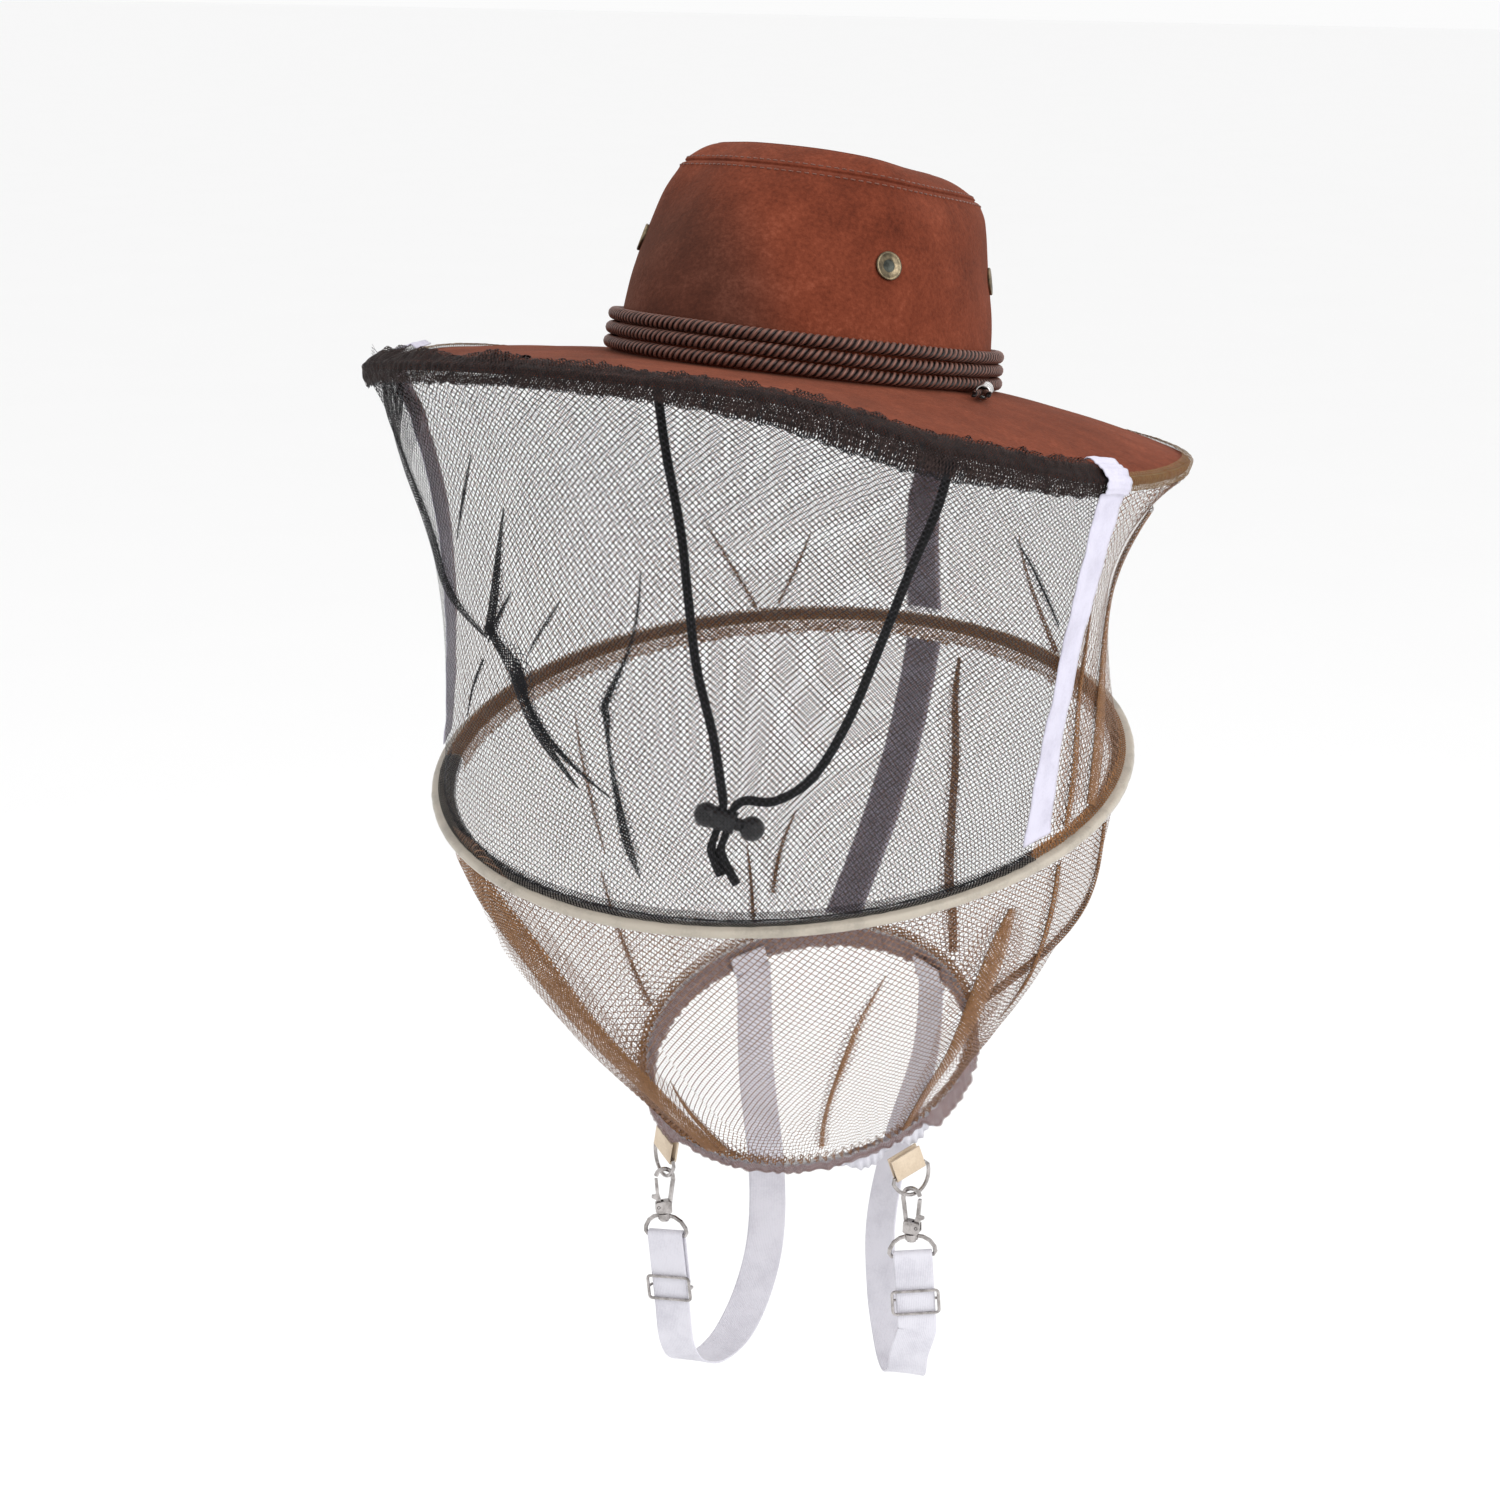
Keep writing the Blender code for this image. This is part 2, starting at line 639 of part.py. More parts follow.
# routes of the chin cords, from the brim beside the crown to the free ends below the toggle
CHIN_ROUTES = {
    "chin_cord_right": [(-0.0868, 0.000, -0.0025), (-0.0850, -0.0020, -0.012),
                        (-0.0760, -0.008, -0.045), (-0.0640, -0.013, -0.085),
                        (-0.0560, -0.019, -0.118), (-0.0480, -0.024, -0.152),
                        (-0.0350, -0.030, -0.183), (-0.0275, -0.0350, -0.205)],
    "chin_cord_left": [(0.0868, 0.000, -0.0110), (0.0862, -0.002, -0.020),
                       (0.0800, -0.006, -0.056), (0.0665, -0.011, -0.092),
                       (0.0535, -0.017, -0.130), (0.0400, -0.024, -0.168),
                       (0.0230, -0.029, -0.198), (0.0040, -0.033, -0.2120),
                       (-0.0130, -0.0348, -0.2140)],
}


TAILS = {
    "chin_cord_right": [(0.0014, 0.0008, -0.007), (0.0044, 0.0020, -0.0145)],
    "chin_cord_left": [(0.0026, 0.0012, -0.008), (0.0076, 0.0030, -0.0175)],
}


def finish_chin_routes():
    """Each cord runs straight through the toggle's slot and ends in a short bare tail."""
    for name, spot in (("chin_cord_right", -CORD_SPACING), ("chin_cord_left", 0.0)):
        route = CHIN_ROUTES[name]
        for drop in (-0.0065, 0, 0.0080, 0.0160):
            route.append(tuple(toggle_at(spot, 0, -drop)))
        bend = Vector(route[-1])
        for step in TAILS[name]:
            route.append(tuple(bend + Vector(step)))


# ---- veil -----------------------------------------------------------------------------------
def edge_ring(section, steps):
    rings = []
    for angle in around(0, 360, steps)[:-1]:
        edge, outward, upward = edge_frame(angle)
        rings.append([edge + outward * o + upward * w for o, w in section])
    return loft(rings, True)


def build_top_casing():
    clear = EDGE_CLEARANCE
    under = -BRIM_THICKNESS - clear
    low = clear + CASING_WALL
    high = low + CASING_TUNNEL
    lip = -CASING_TOP_REACH
    section = [(lip, clear), (clear, clear), (clear, under), (-CASING_UNDER_REACH, under),
               (-CASING_UNDER_REACH, under - CASING_WALL), (low, under - CASING_WALL), (low, low),
               (lip + CASING_WALL, low), (lip + CASING_WALL, high), (lip / 2, high),
               (lip / 2, high + CASING_WALL), (lip, high + CASING_WALL)]
    add_object("veil_top_casing", edge_ring(section, 48), "black_net")
    centre = (lip + CASING_WALL + CASING_TUNNEL / 2, low + CASING_TUNNEL / 2)
    add_object("veil_top_elastic", edge_ring(circle(TOP_ELASTIC_RADIUS, 5, centre), 48), "white_elastic")


def build_nets():
    shares = VEIL_ROWS
    seam = 0.2               # degrees between the two cloths
    right, left, _, right_again = SEAMS_AT_HOOP
    sheet("face_net", veil_point, around(right + seam, left - seam, 18),
          shares, NET_THICKNESS, "black_net", False)
    sheet("rear_net", veil_point, around(left + seam, right_again - seam, 26),
          shares, NET_THICKNESS, "brown_net", False)
    sheet("skirt_net", skirt_point, around(0, 360, 48)[:-1], SKIRT_ROWS,
          NET_THICKNESS, "brown_net", True)


def tape(name, surface, angle, shares, look):
    stand = NET_THICKNESS / 2 + TAPE_THICKNESS / 2 + 0.0012
    rings = []
    for share in shares:
        normal = surface_normal(surface, angle, share)
        middle = surface(angle, share) + normal * stand
        across = (surface(angle + 0.5, share) - surface(angle - 0.5, share)).normalized()
        rings.append([middle + across * s * TAPE_WIDTH / 2 + normal * n * TAPE_THICKNESS / 2
                      for s, n in ((-1, -1), (1, -1), (1, 1), (-1, 1))])
    add_object(name, loft(rings, False, strip=True), look)


def build_tapes():
    shares = VEIL_ROWS[1:-1] + (0.98,)
    right, left, rear, _ = SEAMS_AT_HOOP
    tape("seam_tape_left", veil_point, left, shares, "white_tape")
    tape("seam_tape_right", veil_point, right, shares, "white_tape")
    tape("seam_tape_rear", veil_point, rear, shares, "white_tape")
    tape("skirt_tape_rear", skirt_point, rear, (0.05,) + SKIRT_ROWS[1:-1] + (0.95,), "white_tape")


def ring_solid(place, section, steps, start=0, end=360):
    closed = end - start == 360
    angles = around(start, end, steps)
    if closed:
        angles = angles[:-1]
    return loft([[place(angle, o, w) for o, w in section] for angle in angles], closed)


def build_hoop():
    wire_gap = 1.0           # degrees between the wire's two ends
    middle = -HOOP_WIRE_INSET
    joint = SEAMS_AT_HOOP[2]
    start = joint + wire_gap / 2
    section = circle(HOOP_WIRE_RADIUS, 6, (middle, 0))
    add_object("hoop_wire", ring_solid(hoop_point, section, 56, start, start + 360 - wire_gap), "spring_steel")
    outer = circle(0.00145, 10, (middle, 0))
    inner = circle(0.00120, 10, (middle, 0))
    rings = []
    for angle in around(joint - 4, joint + 4, 4):
        rings.append([hoop_point(angle, o, w) for o, w in outer])
    for angle in around(joint + 4, joint - 4, 4):
        rings.append([hoop_point(angle, o, w) for o, w in inner])
    add_object("hoop_crimp_sleeve", loft(rings, True), "spring_steel")
    width = HOOP_CASING_WIDTH
    outside = [(-width, 0.0008), (-0.0055, 0.0022), (-0.001, 0.0022), (0, 0.0012)]
    inside = [(-width, 0.0003), (-0.0055, 0.0017), (-0.0013, 0.0017)]
    section = outside + [(o, -w) for o, w in outside[::-1]]
    section += [(o, -w) for o, w in inside] + inside[::-1]
    add_object("hoop_casing", ring_solid(hoop_point, section, 52), "cream_tape")


def build_neck_hem():
    half = HEM_THICKNESS / 2
    top = HEM_HEIGHT / 2
    floor = -top + HEM_WALL
    section = [(-half, top), (-half, -top), (half, -top), (half, top), (half - HEM_WALL, top),
               (half - HEM_WALL, floor), (-half + HEM_WALL, floor), (-half + HEM_WALL, top)]
    add_object("neck_hem_casing", ring_solid(neck_point, section, 44), "brown_net")
    section = [(-0.00075, floor + 0.0005), (0.00075, floor + 0.0005), (0.00075, top - 0.0012),
               (-0.00075, top - 0.0012)]
    add_object("neck_elastic", ring_solid(neck_point, section, 44), "white_elastic")


# ---- strap hardware ---------------------------------------------------------------------------
# headings that the pieces face, and where each strap hangs after the slider, with its facing
CLIP_FACING = {"left": 10, "right": 35}
RING_FACING = {"left": 30, "right": 8}
RING_SWING = {"left": -4, "right": -6}      # degrees, the strap hangs a little aside
SLIDER_DROP = {"left": 0.0245, "right": 0.0285}
STRAP_STRAIGHT = 0.040
STRAP_ROUTES = {
    "right": [((0.005, 0.003, -0.060), 10), ((0.007, 0.010, -0.072), 14), ((0.010, 0.026, -0.077), 18),
              ((0.012, 0.048, -0.072), 24), ((0.013, 0.068, -0.054), 30), ((0.010, 0.086, -0.030), 36),
              ((0.001, 0.102, 0.002), 42), ((-0.012, 0.113, 0.052), 46)],
    "left": [((-0.003, 0.003, -0.056), 26), ((-0.008, 0.010, -0.070), 18), ((-0.017, 0.020, -0.074), 8),
             ((-0.030, 0.034, -0.066), 0), ((-0.042, 0.046, -0.046), -8), ((-0.050, 0.058, -0.014), -14),
             ((-0.050, 0.074, 0.024), -18), ((-0.044, 0.094, 0.070), -22)],
}


def tab_heading(side):
    return NECK_FRONT_HEADING + SIDES[side] * TAB_SPREAD


def strap_rear_heading(side):
    return NECK_FRONT_HEADING + 180 - SIDES[side] * STRAP_REAR_SPREAD


def tab_frame(side):
    """At the D-ring's bar: X along the hem, Y inward, Z up square to X."""
    angle = tab_heading(side)
    foot = neck_point(angle, 0, -HEM_HEIGHT / 2)
    along = (neck_point(angle + 1) - neck_point(angle - 1)).normalized()
    outward = heading(angle)
    across = along
    up = across.cross(-outward).normalized()
    inward = up.cross(across)
    matrix = Matrix((across, inward, up)).transposed().to_4x4()
    matrix.translation = foot - up * (TAB_DROP + 0.0012)
    return matrix


def d_ring_low(side):
    """The lowest point of the D-ring's wire centre, in the world."""
    matrix = tab_frame(side)
    spots = [matrix @ Vector((D_RING_HALF_WIDTH * math.sin(t), 0, -D_RING_DEPTH * math.cos(t)))
             for t in around(-1.2, 1.2, 480)]
    return min(spots, key=lambda p: p.z)


def plumb_frame(origin, facing):
    return Matrix.Translation(origin) @ Matrix.Rotation(math.radians(facing), 4, "Z")


def clip_frame(side):
    """At the foot of the clip's body, on the swivel axis, facing forward."""
    low = d_ring_low(side)
    foot = low + PLUMB * (D_RING_WIRE + CLIP_WIRE + JAW_PLAY - CLIP_HEIGHT)
    return plumb_frame(foot, CLIP_FACING[side])


def ring_frame(side):
    """At the middle of the swivel eye, under the clip."""
    foot = clip_frame(side).translation
    swing = Matrix.Rotation(math.radians(RING_SWING[side]), 4, "Y")
    return plumb_frame(foot - PLUMB * 0.0019, RING_FACING[side]) @ swing


def bar_frame(side):
    """At the strap ring's bar."""
    return ring_frame(side) @ Matrix.Translation((0, 0, -RING_DROP))


def build_tab(side):
    matrix = tab_frame(side)
    reach = 0.0018
    path = [(-reach, TAB_DROP), (-reach, TAB_DROP / 2), (-reach, 0)]
    path += [(-reach * math.cos(a), -reach * math.sin(a)) for a in around(0, math.pi, 8)[1:-1]]
    path += [(reach, 0), (reach, TAB_DROP / 2), (reach, TAB_DROP)]
    half_width = TAB_WIDTH / 2
    half = TAB_THICKNESS / 2
    points = [matrix @ Vector((0, y, z)) for y, z in path]
    across = matrix.to_3x3() @ Vector((1, 0, 0))
    section = [(-half_width, -half), (half_width, -half), (half_width, half), (-half_width, half)]
    add_object("front_tab_" + side, sweep(points, section, False, across), "cream_tape", smooth=False)


def build_d_ring(side):
    matrix = tab_frame(side)
    bottom = [(D_RING_HALF_WIDTH * math.sin(t), -D_RING_DEPTH * math.cos(t))
              for t in around(-math.radians(80), math.radians(80), 16)]
    corner = D_RING_HALF_WIDTH - 0.0015
    outline = bottom + [(corner, 0)] + [(corner * k, 0) for k in (0.5, 0, -0.5)] + [(-corner, 0)]
    path = [matrix @ Vector((x, 0, z)) for x, z in outline]
    wire("d_ring_" + side, path, D_RING_WIRE, "nickel", 8, True, matrix.to_3x3() @ Vector((0, 1, 0)),
         matrix.translation)


LEVER_PIVOT = (0.0030, 0.0034)
PIN_RADIUS = 0.0006


def lever_sign(side):
    return SIDES[side]


def build_clip(side):
    matrix = clip_frame(side)
    s = lever_sign(side)
    top = CLIP_HEIGHT
    route = [(-0.0026, 0.002), (-0.0030, 0.006), (-0.0042, top - 0.0085), (-0.0046, top - 0.0055),
             (-0.0038, top - 0.0020), (-0.0018, top - 0.0003), (0.0006, top), (0.0030, top - 0.0012),
             (0.0042, top - 0.0036)]
    points = smooth_route([matrix @ Vector((s * x, 0, z)) for x, z in route], 3)
    facing = matrix.to_3x3() @ Vector((0, 1, 0))
    body = wire("clip_body_" + side, points, CLIP_WIRE, "nickel", 8, False, facing, matrix.translation)

    block = [(-0.0040, 0.0006), (-0.0030, 0), (0.0036, 0), (0.0046, 0.0010), (0.0046, 0.0050),
             (0.0036, 0.0060), (-0.0022, 0.0066), (-0.0038, 0.0060)]
    combine(body, add_object("block", plate([(s * x, z) for x, z in block], 0.0025, matrix), "nickel"), "UNION")
    slot = [(0.0004, -0.001), (0.008, -0.001), (0.008, 0.009), (0.0004, 0.009)]
    combine(body, add_object("cutter", plate([(s * x, z) for x, z in slot], 0.0013, matrix), "nickel"),
            "DIFFERENCE")
    pivot = Vector((s * LEVER_PIVOT[0], 0, LEVER_PIVOT[1]))
    reach = Vector((0, 0.006, 0))
    hole = rod(PIN_RADIUS + GAP, matrix @ (pivot - reach), matrix @ (pivot + reach), 12)
    combine(body, add_object("cutter", hole, "nickel"), "DIFFERENCE")
    stud = [(0.0013, 0.0015), (0.0013, -0.0036), (0.0026, -0.0037), (0.0024, -0.0046)]
    rings = [[matrix @ Vector((r * math.cos(math.tau * k / 14), r * math.sin(math.tau * k / 14), z))
              for k in range(14)] for r, z in stud]
    combine(body, add_object("stud", loft(rings, False), "nickel"), "UNION")
    body.name = "clip_body_" + side

    half_pin = Vector((0, 0.0025, 0))
    pin = rod(PIN_RADIUS, matrix @ (pivot - half_pin), matrix @ (pivot + half_pin), 12)
    add_object("lever_pin_" + side, pin, "nickel", matrix @ pivot)

    # the lever closes the jaw against the hook's nose, with a thumb spur on its outer side
    outline = [(0.0016, 0.0018), (0.0034, 0.0012), (0.0043, 0.0022), (0.0043, 0.0072), (0.0066, 0.0084),
               (0.0064, 0.0095), (0.0044, 0.0098), (0.0050, top - 0.0053), (0.0034, top - 0.0053),
               (0.0026, 0.0098), (0.0018, 0.0072)]
    lever = plate([(s * x, z) for x, z in outline], 0.001, matrix)
    lever = add_object("clip_lever_" + side, lever, "nickel", matrix @ pivot, smooth=False)
    hole = rod(PIN_RADIUS + GAP, matrix @ (pivot - reach), matrix @ (pivot + reach), 12)
    combine(lever, add_object("cutter", hole, "nickel"), "DIFFERENCE")


def build_strap_ring(side):
    matrix = ring_frame(side)
    half = 0.0015
    profile = [(0.0016, -half), (0.0034, -half), (0.0034, half), (0.0016, half)]
    eye = add_object("strap_ring_" + side, turned(profile, 18, matrix), "nickel")
    width = RING_HALF_WIDTH
    right = [(0.0028, 0), (0.0060, -0.0008), (0.0092, -0.0030), (width - 0.0003, -0.0065), (width, -0.0090),
             (width - 0.0010, -RING_DROP - 0.0002)]
    bar = [(x, -RING_DROP) for x in (0.007, 0, -0.007)]
    left = [(-x, z) for x, z in right[::-1]]
    points = [matrix @ Vector((x, 0, z)) for x, z in right + bar + left]
    facing = matrix.to_3x3() @ Vector((0, 1, 0))
    loop = wire("loop", points, RING_WIRE, "nickel", 8, False, facing)
    combine(eye, loop, "UNION")


def build_strap(side):
    """Ribbon from behind the slider, over the ring's bar, down, round and up to the rear hem."""
    matrix = bar_frame(side)
    reach = RING_WIRE + GAP + STRAP_THICKNESS / 2
    tail = -SLIDER_DROP[side] + 0.0012
    path = [(reach, z) for z in around(tail, 0, 4)[:-1]]
    path += [(reach * math.cos(a), reach * math.sin(a)) for a in around(0, math.pi, 8)]
    path += [(-reach, z) for z in around(0, -STRAP_STRAIGHT, 6)[1:]]
    points = [matrix @ Vector((0, y, z)) for y, z in path]
    facings = [RING_FACING[side]] * len(points)
    on_ring = len(points)
    front = matrix @ Vector((0, -reach, 0))
    loose = [points[-2], points[-1]]
    turns = [RING_FACING[side]] * 2
    for (x, y, z), facing in STRAP_ROUTES[side]:
        loose.append(front + Vector((x, y, z)))
        turns.append(facing)
    rear = strap_rear_heading(side)
    sewn = math.remainder(rear + 180, 360)
    inset = -(HEM_THICKNESS / 2 + STRAP_THICKNESS / 2 + 0.0022)
    for up in (-0.016, -0.006, 0.005):
        loose.append(neck_point(rear, inset, up))
        turns.append(sewn)
    per_span = 3
    curve = smooth_route(loose, per_span)[per_span + 1:]
    for i, point in enumerate(curve):
        place = (i + per_span + 1) / per_span
        low = min(int(place), len(turns) - 2)
        points.append(point)
        facings.append(turns[low] + (turns[low + 1] - turns[low]) * (place - low))
    half_width = STRAP_WIDTH / 2
    half = STRAP_THICKNESS / 2
    section = [(-half_width, -half), (half_width, -half), (half_width, half), (-half_width, half)]

    def across(i):
        if i < on_ring:
            return matrix.to_3x3() @ Vector((1, 0, 0))
        a = math.radians(facings[i])
        return Vector((math.cos(a), math.sin(a), 0))

    add_object("strap_" + side, sweep(points, section, False, across), "white_elastic")


def build_slider(side):
    """A wire frame in front of the strap with its middle bar behind it."""
    reach = RING_WIRE + GAP + STRAP_THICKNESS / 2
    matrix = bar_frame(side) @ Matrix.Translation((0, 0, -SLIDER_DROP[side]))
    front = -(reach + STRAP_THICKNESS / 2 + GAP + SLIDER_WIRE + 0.0001)
    width = STRAP_WIDTH / 2 + 0.0018
    height = 0.0062
    r = 0.0016
    outline = []
    for cx, cz, start in ((width - r, height - r, 0), (-width + r, height - r, 90),
                          (-width + r, -height + r, 180), (width - r, -height + r, 270)):
        for k in range(4):
            a = math.radians(start + 30 * k)
            outline.append((cx + r * math.cos(a), cz + r * math.sin(a)))
    points = [matrix @ Vector((x, front, z)) for x, z in outline]
    facing = matrix.to_3x3() @ Vector((0, 1, 0))
    frame = wire("strap_slider_" + side, points, SLIDER_WIRE, "nickel", 8, True, facing, matrix.translation)
    bar = [(width, front), (width, -0.0004), (width - 0.0004, 0), (-width + 0.0004, 0), (-width, -0.0004),
           (-width, front)]
    points = [matrix @ Vector((x, y, 0)) for x, y in bar]
    up = Vector((0, 0, 1))
    combine(frame, wire("bar", points, SLIDER_WIRE * 0.9, "nickel", 8, False, up), "UNION")


def main():
    for obj in list(bpy.data.objects):
        bpy.data.objects.remove(obj)
    build_crown()
    build_eyelets()
    build_brim()
    build_sweatband()
    build_hat_band()
    finish_chin_routes()
    build_chin_cords()
    build_toggle()
    build_top_casing()
    build_nets()
    build_tapes()
    build_hoop()
    build_neck_hem()
    for side in SIDES:
        build_tab(side)
        build_d_ring(side)
        build_clip(side)
        build_strap_ring(side)
        build_strap(side)
        build_slider(side)


main()
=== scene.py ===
"""Looks of a beekeeping veil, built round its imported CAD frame.

Metres, +Z up, the wearer faces -Y and the wearer's left is +X. Headings are angles from the
front (-Y) towards +X. Cloth surfaces carry UV coordinates in metres, so weaves keep their size.
"""
import math

import bpy
from mathutils import Matrix, Vector, noise


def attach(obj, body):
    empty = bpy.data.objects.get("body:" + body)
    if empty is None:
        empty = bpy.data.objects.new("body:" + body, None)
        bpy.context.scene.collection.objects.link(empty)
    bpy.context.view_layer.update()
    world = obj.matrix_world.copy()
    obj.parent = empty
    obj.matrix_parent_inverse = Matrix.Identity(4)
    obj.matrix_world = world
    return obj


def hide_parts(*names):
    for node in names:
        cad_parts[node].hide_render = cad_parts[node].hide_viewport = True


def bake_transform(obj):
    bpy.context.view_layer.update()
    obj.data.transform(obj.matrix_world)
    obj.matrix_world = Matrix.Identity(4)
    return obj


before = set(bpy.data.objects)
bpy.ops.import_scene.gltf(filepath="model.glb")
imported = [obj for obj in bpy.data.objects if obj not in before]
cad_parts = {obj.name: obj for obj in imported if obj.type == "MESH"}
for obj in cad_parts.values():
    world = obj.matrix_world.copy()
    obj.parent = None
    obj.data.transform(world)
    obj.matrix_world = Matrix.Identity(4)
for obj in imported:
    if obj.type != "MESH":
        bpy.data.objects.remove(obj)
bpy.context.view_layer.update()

# ---- dimensions shared with the CAD part, in metres and degrees ------------------------------
GAP = 0.0003
HAT_LEAN_BACK = 8.5
HAT_ROLL_LEFT = 2.6
CROWN_HALF_WIDTH = 0.0875
CROWN_HALF_LENGTH = 0.105
CROWN_SIDE_TAPER = 0.0195
CROWN_FRONT_TAPER = 0.049
CROWN_REAR_TAPER = 0.012
CROWN_HEIGHT = 0.1025
CROWN_FRONT_RISE = 0.0035
CROWN_WALL = 0.002
CROWN_PINCH_DEPTH = 0.006
CROWN_PINCH_HEADING = 36
TIP_CREASE_DEPTH = 0.020
BRIM_LEFT_REACH = 0.193
BRIM_RIGHT_REACH = 0.208
BRIM_FRONT_REACH = 0.218
BRIM_REAR_REACH = 0.196
BRIM_THICKNESS = 0.003
BRIM_DROOP = ((0, 0.006), (30, 0.005), (52, 0.019), (78, 0.028), (108, 0.022), (150, 0.016),
              (195, 0.016), (240, 0.013), (270, 0.012), (298, 0.021), (325, 0.015))
EYELET_HEADINGS = {"left_front": 57, "left_rear": 121, "right_front": -57, "right_rear": -121}
EYELET_LEVEL = 0.53
BAND_CORD_RADIUS = 0.003
BAND_CORD_PITCH = 0.0066
BAND_FERRULE_HEADING = 88
SEAMS_AT_HOOP = (-66, 74, 183, 294)
SEAMS_AT_BRIM = (-74, 79, 184, 286)
NET_TUCK = ((0, 3.0), (40, 2.4), (74, 1.3), (115, 9.0), (183, 4.0), (250, 4.0), (294, 3.2),
            (330, 3.2))
NET_DROP = BRIM_THICKNESS + 0.0012 + 0.0006 + GAP + 0.0008
HOOP_CENTRE = Vector((-0.0024, -0.0166, -0.194))
HOOP_TILT_FORWARD = 12.3
HOOP_TILT_LEFT = 2.7
HOOP_RADIUS = 0.177
HOOP_NET_INSET = 0.007
NECK_CENTRE = Vector((0.005, 0.0, -0.355))
NECK_TILT_FORWARD = 26.0
NECK_TILT_LEFT = 4.2
NECK_RADIUS = 0.0855
NECK_FRONT_HEADING = 15
HEM_HEIGHT = 0.014
HEM_THICKNESS = 0.0044
TAPE_WIDTH = 0.020
TAB_SPREAD = 47
STRAP_REAR_SPREAD = 38
STRAP_WIDTH = 0.020
STRAP_THICKNESS = 0.0012
TAB_DROP = 0.011
D_RING_WIRE = 0.001
D_RING_HALF_WIDTH = 0.0108
D_RING_DEPTH = 0.014
CLIP_WIRE = 0.0012
CLIP_HEIGHT = 0.0240
JAW_PLAY = 0.0010
RING_WIRE = 0.0011
RING_DROP = 0.0105
CORD_RADIUS = 0.0022
CORD_SPACING = 0.0050
TOGGLE_CENTRE = Vector((-0.0215, -0.036, -0.226))
TOGGLE_TILT = 16
TOGGLE_HEADING = 24
RING_FACING = {"left": 30, "right": 8}
RING_SWING = {"left": -4, "right": -6}
SLIDER_DROP = {"left": 0.0245, "right": 0.0285}
STRAP_STRAIGHT = 0.040
# steps from the front of the strap's ring, with the heading that the strap's width faces
STRAP_ROUTES = {
    "right": [((0.005, 0.003, -0.060), 10), ((0.007, 0.010, -0.072), 14), ((0.010, 0.026, -0.077), 18),
              ((0.012, 0.048, -0.072), 24), ((0.013, 0.068, -0.054), 30), ((0.010, 0.086, -0.030), 36),
              ((0.001, 0.102, 0.002), 42), ((-0.012, 0.113, 0.052), 46)],
    "left": [((-0.003, 0.003, -0.056), 26), ((-0.008, 0.010, -0.070), 18), ((-0.017, 0.020, -0.074), 8),
             ((-0.030, 0.034, -0.066), 0), ((-0.042, 0.046, -0.046), -8), ((-0.050, 0.058, -0.014), -14),
             ((-0.050, 0.074, 0.024), -18), ((-0.044, 0.094, 0.070), -22)],
}
# from the sweatband down to just above the toggle
CHIN_ROUTES = {
    "chin_cord_right": [(-0.0868, 0.000, -0.0025), (-0.0850, -0.0020, -0.012),
                        (-0.0760, -0.008, -0.045), (-0.0640, -0.013, -0.085),
                        (-0.0560, -0.019, -0.118), (-0.0480, -0.024, -0.152),
                        (-0.0350, -0.030, -0.183), (-0.0275, -0.0350, -0.205)],
    "chin_cord_left": [(0.0868, 0.000, -0.0110), (0.0862, -0.002, -0.020),
                       (0.0800, -0.006, -0.056), (0.0665, -0.011, -0.092),
                       (0.0535, -0.017, -0.130), (0.0400, -0.024, -0.168),
                       (0.0230, -0.029, -0.198), (0.0040, -0.033, -0.2120),
                       (-0.0130, -0.0348, -0.2140)],
}
# from below the toggle to the bare ends
TAILS = {
    "chin_cord_right": [(0.0014, 0.0008, -0.007), (0.0044, 0.0020, -0.0145)],
    "chin_cord_left": [(0.0026, 0.0012, -0.008), (0.0076, 0.0030, -0.0175)],
}
TOGGLE_TRAVEL = 0.006
SIDES = {"left": 1, "right": -1}
PLUMB = Vector((0, 0, 1))

# ---- dimensions of the visible detail ----------------------------------------------------------
CAMERA_PLACE = (0.7709, -1.3352, 0.2226)
CAMERA_LOOKS_DOWN = 15.116
CAMERA_TURN = 30.986
CAMERA_LENS = 75.3
FLOOR_LEVEL = -1.0
FLOOR_REACH = 30.0
# name, place, what it points at, size and power
STUDIO_LAMPS = (("key", (2.2, -0.5, 1.1), (0, 0, -0.1), 1.3, 28),
                ("fill", (-1.9, -1.4, 0.5), (0, 0, -0.2), 1.8, 4),
                ("top", (0.3, 0.4, 2.3), (0, 0, 0), 1.6, 10))
NET_SLANT = 45
CORD_STEP = 0.0006
BRAID_LAY = 0.0042
SHOULDER_LEVEL = 0.82
SEAM_LEVEL = 0.905
SEAM_STITCH_OFFSET = 0.020
BRIM_STITCH_SHARE = 0.042
STITCH_RADIUS = 0.00034
CROWN_CLOTH = 0.0017
TIP_CLOTH = 0.0012
RIBBON_CLOTH = 0.0005
ALLOWANCE_WIDTH = 0.018
ALLOWANCE_INSET = -0.0012
FOLD_LIFT = 0.0030

HAT = (Matrix.Rotation(math.radians(HAT_ROLL_LEFT), 4, "Y")
       @ Matrix.Rotation(math.radians(-HAT_LEAN_BACK), 4, "X"))
HOOP = (Matrix.Translation(HOOP_CENTRE)
        @ Matrix.Rotation(math.radians(HOOP_TILT_LEFT), 4, "Y")
        @ Matrix.Rotation(math.radians(HOOP_TILT_FORWARD), 4, "X"))
NECK = (Matrix.Translation(NECK_CENTRE)
        @ Matrix.Rotation(math.radians(NECK_TILT_LEFT), 4, "Y")
        @ Matrix.Rotation(math.radians(NECK_TILT_FORWARD), 4, "X"))
TOGGLE = (Matrix.Translation(TOGGLE_CENTRE)
          @ Matrix.Rotation(math.radians(TOGGLE_HEADING), 4, "Z")
          @ Matrix.Rotation(math.radians(TOGGLE_TILT), 4, "Y"))


# ---- curves and surfaces --------------------------------------------------------------------
def heading(angle):
    """The level direction at a heading."""
    a = math.radians(angle)
    return Vector((math.sin(a), -math.cos(a), 0))


